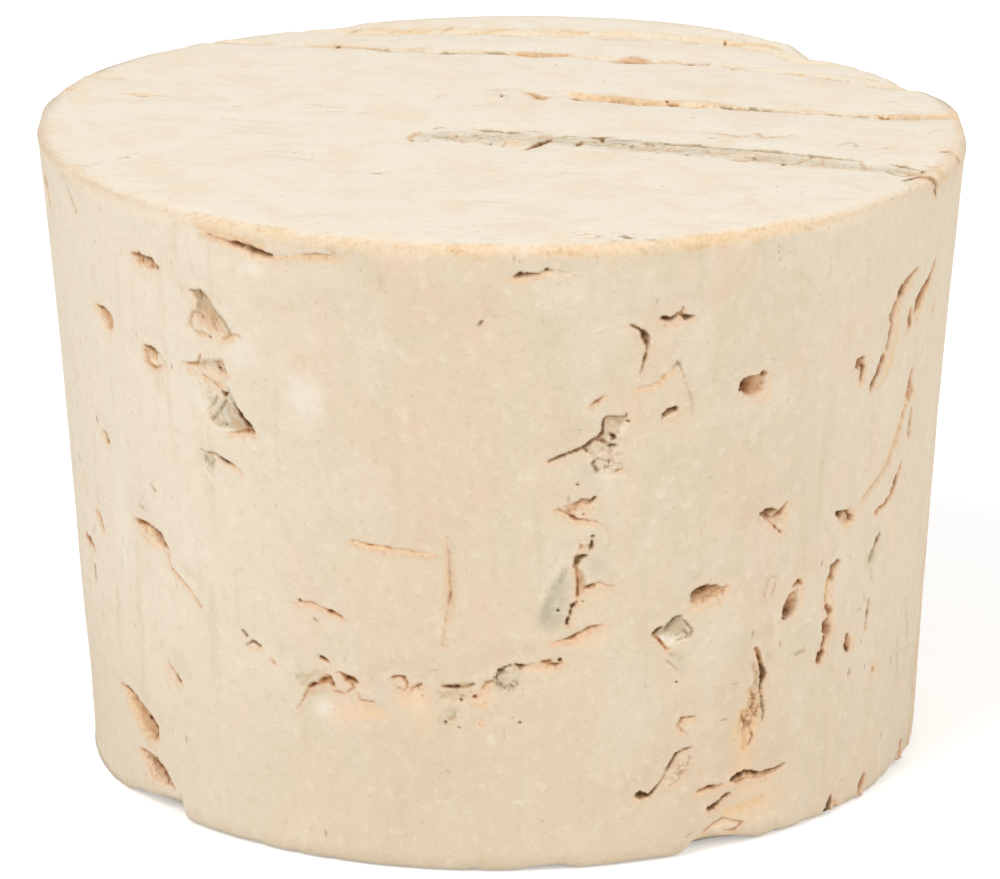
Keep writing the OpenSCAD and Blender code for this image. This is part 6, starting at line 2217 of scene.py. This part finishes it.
@dataclass
class Stopper:
    """The cork stopper: one closed skin with its bark features, and its finish."""

    blank: Blank = field(default_factory=Blank)
    sizes: CellSizes = field(default_factory=CellSizes)
    around: int = 14
    levels: int = 7

    def features(self) -> list:
        """All features, in the order in which they are worked.

        Returns: the features, in the order in which they are carved.
        """
        found = growth_lines() + left_flank() + hollows() + under_rim() + front_run()
        found += middle_clefts() + right_half() + right_lines() + low_right()
        found += away_side(self.blank) + wide_end()
        return [one for one in found if isinstance(one, (Stain, Chip))] + [
            one for one in found if not isinstance(one, (Stain, Chip))
        ]

    def build(self, box: np.ndarray) -> bpy.types.Object:
        """Nets, carves and paints the skin, held in a box, and returns its object.

        Args:
            box: lowest and highest corner of the box, in metres.
        Returns: the piece's object.
        """
        chart = Chart(self.blank, self.around, self.levels)
        features = self.features()
        net = Net(chart, self.sizes, features)
        columns, rows, corners, counts = net.faces()
        LOG.info("net: %d points, %d faces", len(columns), len(counts))
        skin = Skin(chart.spots(columns, rows))
        self.swell(skin)
        for feature in features:
            feature.carve(skin)
        self.wear(skin)
        return self.mesh(box, skin, columns, rows, corners, counts)

    def swell(self, skin: Skin) -> None:
        """Unevenness of the cut bark: broad hollows, upright ripples and a faint roughness.

        Args:
            skin: the skin that is carved.
        """
        spots = skin.spots
        drawn = spots.place * [1.0, 1.0, 0.22]
        skin.depth += 0.03 * grain(spots.place, 7.0, 1) + 0.03 * grain(drawn, 1.3, 3)
        skin.depth += 0.012 * grain(spots.place, 0.9, 5) - 0.1 * spots.side - 0.06 * spots.top

    def wear(self, skin: Skin) -> None:
        """Uneven outline of the wide end, ragged lower edge, and the ochre bloom of both rims.

        Args:
            skin: the skin that is carved.
        """
        spots = skin.spots
        everywhere = np.arange(len(spots.x))
        around = np.degrees(np.arctan2(spots.x, -spots.layer))
        marks, steps = np.array(RIM_STEPS).T
        step = np.interp(around, marks, steps)
        onto = ease((spots.r - 19.5) / 7.5) * spots.top + spots.side * ease((spots.up - 6) / 26)
        radial = np.stack([np.sin(spots.turn), -np.cos(spots.turn), np.zeros_like(step)], 1)
        skin.slip -= radial * (step * onto)[:, None]
        ends = ease((np.abs(np.sin(spots.turn)) - 0.55) / 0.35)
        back_right = ease((-np.cos(spots.turn) - 0.15) / 0.3) * (spots.x > 0)
        upper = ends * (1 - 0.9 * back_right)
        skin.depth -= 0.28 * upper * np.exp(-(((spots.past - 0.6) / 0.45) ** 2))
        left = ease((-np.sin(spots.turn) - 0.82) / 0.12)
        skin.depth -= 0.4 * left * np.exp(-(((spots.low - 0.62) / 0.26) ** 2))
        skin.depth += 0.12 * left * ease((9 - spots.up) / 5) * spots.side
        skin.depth -= 0.2 * ends * np.exp(-(((spots.low - 0.45) / 0.35) ** 2)) * (spots.low > 0.02)
        twist = 0.0025 * spots.x * np.clip(spots.y - 17, 0, None)
        skin.slip[:, 2] += twist * ease((spots.up - 26) / 10)
        degrees = np.degrees(spots.turn)
        marks, lifts = np.array(FOOT_CHIPS).T
        lift = np.interp(degrees, marks, lifts)
        rim = np.stack([spots.turn * 25, np.zeros_like(lift), np.zeros_like(lift)], 1)
        lift = np.clip(lift + 0.12 * grain(rim, 0.9, 71), 0, None)
        near = ease((2.2 - spots.up) / 2.2) * (spots.side + (1 - spots.side) * (spots.z < 5))
        skin.slip[:, 2] += lift * near * ease((spots.up + 1.2) / 1.2)
        cloud = np.clip(0.75 + 0.5 * grain(rim, 4.0, 73) + 0.25 * grain(spots.place, 0.9, 74), 0, 1)
        strong = 0.85 + 0.15 * np.cos(np.radians(degrees + 15))
        past = spots.past + 0.12 * grain(spots.place, 1.1, 75)
        band = ease((past + 0.1) / 0.35) * (1 - ease((past - 0.75) / 0.6)) * cloud * strong
        late = ease((past - 0.6) / 0.4)[:, None]
        colour = np.array(tone(236, 203, 162)) * (1 - late) + np.array(tone(226, 196, 156)) * late
        front = 0.62 + 0.33 * ease(1 - np.abs(degrees - 10) / 60)
        skin.brush(everywhere, colour, front * band)
        foot = np.exp(-(((spots.low - 0.3) / 0.4) ** 2)) * (spots.low > 0.02) * (spots.low < 0.98)
        skin.brush(everywhere, tone(238, 210, 174), 0.5 * foot * cloud)

    def mesh(
        self,
        box: np.ndarray,
        skin: Skin,
        columns: np.ndarray,
        rows: np.ndarray,
        corners: np.ndarray,
        counts: np.ndarray,
    ) -> bpy.types.Object:
        """Puts the skin into a mesh and closes the eye at each end with a fan of triangles.

        Args:
            box: lowest and highest corner of the box, in metres.
            skin: the skin that is carved.
            columns: column of each point.
            rows: row of each point.
            corners: corners of each face.
            counts: corners in each face.
        Returns: the mesh.
        """
        place = np.clip(skin.place(), box[0] / METRES, box[1] / METRES)
        fans, middles = [], []
        for row, upper in ((0, True), (rows.max(), False)):
            ring = np.flatnonzero(rows == row)
            ring = ring[np.argsort(columns[ring])]
            after = np.roll(ring, -1)
            hub = np.full_like(ring, len(place) + len(middles))
            fans.append(np.stack([ring, after, hub] if upper else [after, ring, hub], 1))
            middles.append(place[ring].mean(0))
        place = np.vstack([place, middles])
        fan = np.concatenate(fans)
        loops = np.concatenate([corners, fan.ravel()])
        totals = np.concatenate([counts, np.full(len(fan), 3)])
        mesh = bpy.data.meshes.new("stopper_bark")
        mesh.vertices.add(len(place))
        mesh.vertices.foreach_set("co", (place * METRES).ravel())
        mesh.loops.add(len(loops))
        mesh.loops.foreach_set("vertex_index", loops.astype(np.int32))
        mesh.polygons.add(len(totals))
        starts = np.concatenate([[0], np.cumsum(totals)[:-1]])
        mesh.polygons.foreach_set("loop_start", starts.astype(np.int32))
        mesh.polygons.foreach_set("loop_total", totals.astype(np.int32))
        mesh.polygons.foreach_set("use_smooth", np.ones(len(totals), bool))
        mesh.update(calc_edges=True)
        mesh.validate(verbose=True)
        held = (("painted", skin.paint, skin.weight), ("stained", skin.tint, skin.tinted))
        for name, colour, weight in held:
            layer = mesh.attributes.new(name, "FLOAT_COLOR", "POINT")
            values = np.concatenate([np.column_stack([colour, weight]), np.zeros((2, 4))])
            layer.data.foreach_set("color", values.astype(np.float32).ravel())
        layer = mesh.attributes.new("wide_end", "FLOAT", "POINT")
        layer.data.foreach_set("value", np.append(skin.spots.top, [1.0, 0.0]).astype(np.float32))
        piece = bpy.data.objects.new("stopper_bark", mesh)
        bpy.context.scene.collection.objects.link(piece)
        mesh.calc_loop_triangles()
        LOG.info("stopper_bark: %d triangles", len(mesh.loop_triangles))
        return piece


# ---- finishes ------------------------------------------------------------------------------


class Wiring:
    """Node tree of one material, with short ways to add and join nodes."""

    def __init__(self, name: str) -> None:
        """Makes an empty material.

        Args:
            name: the material's name.
        """
        self.material = bpy.data.materials.new(name)
        self.material.use_nodes = True
        self.tree = self.material.node_tree
        self.tree.nodes.clear()

    def add(self, kind: str, settings: dict | None = None, **inputs: object) -> bpy.types.Node:
        """Adds a node; settings are its properties, inputs its sockets by name.

        An input may be a plain value or another node's output. An underscore in a name stands
        for a space.

        Args:
            kind: kind of node.
            settings: the node's properties.
            inputs: values or outputs by socket.
        Returns: the node.
        """
        node = self.tree.nodes.new(kind)
        for key, value in (settings or {}).items():
            setattr(node, key, value)
        for key, value in inputs.items():
            numbered = key[0] == "i" and key[1:].isdigit()
            socket = node.inputs[int(key[1:]) if numbered else key.replace("_", " ")]
            if isinstance(value, bpy.types.NodeSocket):
                self.tree.links.new(value, socket)
            else:
                socket.default_value = value
        return node

    def noise(
        self,
        vector: bpy.types.NodeSocket,
        scale: float,
        detail: float = 3.0,
        rough: float = 0.55,
        twist: float = 0.0,
    ) -> bpy.types.NodeSocket:
        """Cloud noise from 0 to 1; twist winds its clouds.

        Args:
            vector: where the noise is read.
            scale: how fine it is.
            detail: how many layers it has.
            rough: weight of the finer layers.
            twist: distortion.
        Returns: its output.
        """
        node = self.add(
            "ShaderNodeTexNoise", Vector=vector, Scale=scale, Detail=detail, Roughness=rough,
            Distortion=twist,
        )
        return node.outputs["Fac"]

    def scaled(
        self,
        vector: bpy.types.NodeSocket,
        scale: tuple,
        turn: tuple = (0, 0, 0),
        shift: tuple = (0, 0, 0),
    ) -> bpy.types.NodeSocket:
        """Coordinates stretched, turned and moved.

        Args:
            vector: the coordinates.
            scale: stretch along each axis.
            turn: turn about each axis.
            shift: shift along each axis.
        Returns: its output.
        """
        node = self.add(
            "ShaderNodeMapping", Vector=vector, Scale=scale, Rotation=turn, Location=shift
        )
        return node.outputs["Vector"]

    def math(self, what: str, a: object, b: object = 0.0, clamp: bool = False) -> bpy.types.NodeSocket:
        """One sum of two values."""
        node = self.add("ShaderNodeMath", dict(operation=what, use_clamp=clamp), i0=a, i1=b)
        return node.outputs[0]

    def between(
        self, value: object, low: float, high: float, to_low: float = 0.0, to_high: float = 1.0
    ) -> bpy.types.NodeSocket:
        """Value mapped smoothly from low-high to to_low-to_high.

        Args:
            value: the value.
            low: low end.
            high: high end.
            to_low: result at the low end.
            to_high: result at the high end.
        Returns: its output.
        """
        smooth = dict(interpolation_type="SMOOTHSTEP")
        node = self.add(
            "ShaderNodeMapRange", smooth, i0=value, i1=low, i2=high, i3=to_low, i4=to_high
        )
        return node.outputs[0]

    def mix(self, share: object, first: object, second: object, blend: str = "MIX") -> bpy.types.NodeSocket:
        """Mix of two colours.

        Args:
            share: share of the second.
            first: first colour.
            second: second colour.
            blend: way of mixing.
        Returns: its output.
        """
        node = self.add("ShaderNodeMix", dict(data_type="RGBA", blend_type=blend))
        for socket, value in ((node.inputs[0], share), (node.inputs[6], first), (node.inputs[7], second)):
            if isinstance(value, bpy.types.NodeSocket):
                self.tree.links.new(value, socket)
            elif isinstance(value, tuple):
                socket.default_value = (*value, 1.0)
            else:
                socket.default_value = value
        return node.outputs[2]


@dataclass(frozen=True)
class CorkFinish:
    """Bleached natural cork: mottled cream, fine crumbly grain, and linings painted by place, with painted
    light and shade on the side, on the wide end and on the fine crinkles.
    """

    side: tuple = tone(226, 208, 181)
    side_pink: tuple = tone(230, 202, 174)
    side_green: tuple = tone(218, 204, 177)
    side_chalk: tuple = tone(230, 217, 196)
    # painted light: colour the side takes towards its left flank, and a little to the right
    side_painted_light: tuple = tone(240, 227, 207)
    # painted shade: colour the side takes towards the bottom
    side_painted_shade: tuple = tone(212, 190, 160)
    # the wide end's colours are paler than the side's: partly its own tone, partly painted light from above
    top: tuple = tone(243, 232, 213)
    top_warm: tuple = tone(242, 223, 199)
    top_cool: tuple = tone(236, 227, 208)
    # light and shade are mottle colours that also paint the fine crinkles' highlight and shade
    light: tuple = tone(246, 234, 210)
    shade: tuple = tone(216, 197, 165)
    speck: tuple = tone(176, 152, 116)
    roughness: float = 0.9

    def build(self) -> bpy.types.Material:
        """Builds the material on Object coordinates, read in millimetres.

        Returns: the material.
        """
        w = Wiring("cork")
        place = w.add("ShaderNodeTexCoord").outputs["Object"]
        mm = w.scaled(place, (1000, 1000, 1000))
        end = w.add("ShaderNodeAttribute", dict(attribute_name="wide_end")).outputs["Fac"]
        tall = w.scaled(mm, (1, 1, 0.42))
        pink = w.noise(w.scaled(mm, (1, 1, 0.5), shift=(11, 3, 5)), 0.3, 3.0, 0.55, 0.6)
        green = w.noise(w.scaled(mm, (1, 1, 0.35), shift=(2, 17, 9)), 0.42, 3.0, 0.55, 0.5)
        chalk = w.noise(w.scaled(mm, (1, 1, 0.6), shift=(7, 1, 23)), 0.26, 3.0, 0.5, 0.4)
        scribble = w.noise(w.scaled(mm, (1, 1, 0.8)), 1.5, 4.0, 0.6, 0.3)
        crumbs = w.noise(mm, 3.4, 3.0, 0.6, 0.5)
        streaks = w.noise(w.scaled(mm, (1, 1, 0.12)), 0.8, 3.0, 0.5)
        side = w.mix(w.between(green, 0.48, 0.68, 0.0, 0.4), self.side, self.side_green)
        side = w.mix(w.between(pink, 0.5, 0.7, 0.0, 0.55), side, self.side_pink)
        side = w.mix(w.between(chalk, 0.5, 0.68, 0.0, 0.5), side, self.side_chalk)
        apart = w.add("ShaderNodeSeparateXYZ", i0=mm).outputs
        # painted light: the side is made lighter towards the left flank, and a little lighter from x 12 to
        # 22 mm
        side = w.mix(w.between(apart[0], -4.0, -21.0, 0.0, 0.78), side, self.side_painted_light)
        side = w.mix(w.between(apart[0], 12.0, 22.0, 0.0, 0.3), side, self.side_painted_light)
        # painted shade: the side is made darker towards the bottom
        side = w.mix(w.between(apart[2], 16.0, 4.0, 0.0, 0.25), side, self.side_painted_shade)
        side = w.mix(w.between(streaks, 0.55, 0.75, 0.0, 0.35), side, self.shade)
        strokes = w.noise(w.scaled(mm, (0.3, 1.2, 1), (0, 0, math.radians(-38))), 0.7, 3.0, 0.6)
        top = w.mix(w.between(pink, 0.46, 0.64, 0.0, 0.7), self.top, self.top_warm)
        top = w.mix(w.between(strokes, 0.52, 0.7, 0.0, 0.6), top, self.top_cool)
        # the wide end is paler than the side: partly its own tone, partly painted light from above
        base = w.mix(end, side, top)
        stained = w.add("ShaderNodeAttribute", dict(attribute_name="stained"))
        base = w.mix(stained.outputs["Alpha"], base, stained.outputs["Color"])
        soft = w.between(end, 0.0, 1.0, 1.0, 0.55)
        # painted highlight and shade of the fine crinkles: the bump below rises with the same noise, and
        # the colour is lighter on its rises and darker in its dips, along with plain mottle
        lighter = w.math("MULTIPLY", w.between(scribble, 0.52, 0.74, 0.0, 0.32), soft)
        darker = w.math("MULTIPLY", w.between(scribble, 0.46, 0.26, 0.0, 0.4), soft)
        base = w.mix(lighter, base, self.light)
        base = w.mix(darker, base, self.shade, "MIX")
        base = w.mix(w.math("MULTIPLY", w.between(crumbs, 0.6, 0.8, 0.0, 0.4), soft), base, self.speck)
        pins = w.add("ShaderNodeTexVoronoi", Vector=tall, Scale=0.7)
        chosen = w.between(pins.outputs["Color"], 0.6, 0.72)
        pin = w.math("MULTIPLY", w.between(pins.outputs["Distance"], 0.1, 0.04), chosen)
        base = w.mix(w.math("MULTIPLY", pin, 0.45), base, tone(160, 134, 98))
        painted = w.add("ShaderNodeAttribute", dict(attribute_name="painted"))
        weight = painted.outputs["Alpha"]
        shift = w.math("MULTIPLY", w.math("SUBTRACT", crumbs, 0.5), 1.1)
        slack = w.math("MULTIPLY", w.math("MULTIPLY", weight, w.math("SUBTRACT", 1.0, weight)), 4.0)
        weight = w.math("ADD", weight, w.math("MULTIPLY", shift, slack), True)
        lining = painted.outputs["Color"]
        lining = w.mix(w.between(crumbs, 0.5, 0.75, 0.0, 0.3), lining, tone(170, 128, 92), "MULTIPLY")
        lining = w.mix(w.between(crumbs, 0.42, 0.22, 0.0, 0.25), lining, self.light)
        colour = w.mix(weight, base, lining)
        height = w.math("ADD", w.math("MULTIPLY", crumbs, 0.35), w.math("MULTIPLY", scribble, 0.8))
        height = w.math("ADD", height, w.math("MULTIPLY", w.noise(tall, 1.8, 2.0), 0.4))
        bump = w.add("ShaderNodeBump", Strength=0.8, Distance=0.00012, Height=height)
        rough = w.between(crumbs, 0.2, 0.8, self.roughness - 0.08, self.roughness + 0.06)
        surface = w.add(
            "ShaderNodeBsdfPrincipled", Base_Color=colour, Roughness=rough, Normal=bump.outputs[0],
        )
        surface.inputs["Specular IOR Level"].default_value = 0.2
        out = w.add("ShaderNodeOutputMaterial")
        w.tree.links.new(surface.outputs[0], out.inputs[0])
        return w.material


@dataclass(frozen=True)
class FloorFinish:
    """Plain white floor that keeps the shadow: a matt white that also glows a little to the eye."""

    colour: tuple = tone(240, 240, 240)
    glow: float = 0.35

    def build(self) -> bpy.types.Material:
        """Builds the material; only what the eye and mirrors see glows.

        Returns: the material.
        """
        w = Wiring("floor")
        path = w.add("ShaderNodeLightPath").outputs
        seen = w.math("ADD", path["Is Camera Ray"], path["Is Glossy Ray"], True)
        seen = w.math("ADD", seen, path["Is Transmission Ray"], True)
        matt = w.add("ShaderNodeBsdfDiffuse", Color=(*self.colour, 1.0))
        glow = w.add("ShaderNodeEmission", Strength=w.math("MULTIPLY", seen, self.glow))
        both = w.add("ShaderNodeAddShader", i0=matt.outputs[0], i1=glow.outputs[0])
        out = w.add("ShaderNodeOutputMaterial")
        w.tree.links.new(both.outputs[0], out.inputs[0])
        return w.material


# ---- stage, light and camera ---------------------------------------------------------------


@dataclass(frozen=True)
class Studio:
    """Plain stage: white floor, soft lamps, and the camera; lengths in metres."""

    ambient: float = 0.75
    key: float = 4.1
    target: tuple = (-0.000306, 0.0, 0.01818)
    distance: float = 0.3631
    elevation: float = 17.584
    roll: float = 0.569
    lens: float = 216.0

    def floor(self) -> bpy.types.Object:
        """Round floor, wide enough for every view.

        Returns: the floor.
        """
        turn = np.linspace(0, 2 * math.pi, 96, endpoint=False)
        rim = np.stack([3 * np.cos(turn), 3 * np.sin(turn), np.full_like(turn, -0.00002)], 1)
        mesh = bpy.data.meshes.new("floor")
        mesh.from_pydata(rim.tolist(), [], [list(range(len(rim)))])
        piece = bpy.data.objects.new("floor", mesh)
        bpy.context.scene.collection.objects.link(piece)
        mesh.materials.append(FloorFinish().build())
        piece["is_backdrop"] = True
        return piece

    def world(self) -> None:
        """Even white light from all round, and white where the eye sees past the floor."""
        world = bpy.data.worlds.new("studio")
        bpy.context.scene.world = world
        world.use_nodes = True
        nodes, links = world.node_tree.nodes, world.node_tree.links
        nodes.clear()
        path = nodes.new("ShaderNodeLightPath").outputs["Is Camera Ray"]
        level = nodes.new("ShaderNodeMapRange")
        level.inputs[3].default_value = self.ambient
        level.inputs[4].default_value = 1.0
        links.new(path, level.inputs[0])
        sky = nodes.new("ShaderNodeBackground")
        links.new(level.outputs[0], sky.inputs["Strength"])
        out = nodes.new("ShaderNodeOutputWorld")
        links.new(sky.outputs[0], out.inputs[0])

    def lamp(self, name: str, place: tuple, size: float, power: float) -> None:
        """Square lamp facing the part.

        Args:
            name: the lamp's name.
            place: where it stands, in metres.
            size: length of its sides, in metres.
            power: its power in watts.
        """
        data = bpy.data.lights.new(name, "AREA")
        data.shape = "SQUARE"
        data.size = size
        data.energy = power
        lamp = bpy.data.objects.new(name, data)
        bpy.context.scene.collection.objects.link(lamp)
        lamp.location = place
        lamp.rotation_euler = (Vector((0, 0, 0.02)) - Vector(place)).to_track_quat("-Z", "Y").to_euler()

    def lamps(self) -> None:
        """Large soft key from the upper left, and a weak one from the right."""
        self.lamp("key", (-0.55, -0.65, 0.95), 0.5, self.key * 1.62)
        self.lamp("side", (0.9, -0.5, 0.6), 0.8, self.key * 0.98)

    def camera(self) -> bpy.types.Object:
        """Camera on the front, looking down; its roll turns its own right and up.

        Returns: the camera.
        """
        rise = math.radians(self.elevation)
        back = Vector((0, -math.cos(rise), math.sin(rise)))
        right, up = Vector((1, 0, 0)), Vector((0, math.sin(rise), math.cos(rise)))
        c, s = math.cos(math.radians(self.roll)), math.sin(math.radians(self.roll))
        right, up = right * c - up * s, right * s + up * c
        data = bpy.data.cameras.new("camera")
        data.lens = self.lens
        data.sensor_width = 36.0
        data.clip_start = 0.01
        data.clip_end = 20.0
        camera = bpy.data.objects.new("camera", data)
        bpy.context.scene.collection.objects.link(camera)
        turn = Matrix((right, up, back)).transposed().to_4x4()
        camera.matrix_world = Matrix.Translation(Vector(self.target) + back * self.distance) @ turn
        bpy.context.scene.camera = camera
        return camera

    def build(self) -> None:
        """Sets the whole stage."""
        bpy.context.scene.view_settings.view_transform = "Standard"
        self.floor()
        self.world()
        self.lamps()
        self.camera()
        LOG.info("stage: floor, two lamps, camera")


def plain_box(corners: tuple) -> list[list[float]]:
    """Box as plain lists of numbers."""
    return [[float(value) for value in corner] for corner in corners]


def main() -> None:
    """Builds the stage and the piece, in order."""
    logging.basicConfig(level=logging.INFO)
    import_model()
    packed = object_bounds()
    Studio().build()
    piece = Stopper().build(np.array(plain_box(packed)))
    piece.data.materials.append(CorkFinish().build())
    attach(piece, "root")
    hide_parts("stopper")
    LOG.info("%s: rides on root, stands for stopper", piece.name)


if __name__ == "__main__":
    main()
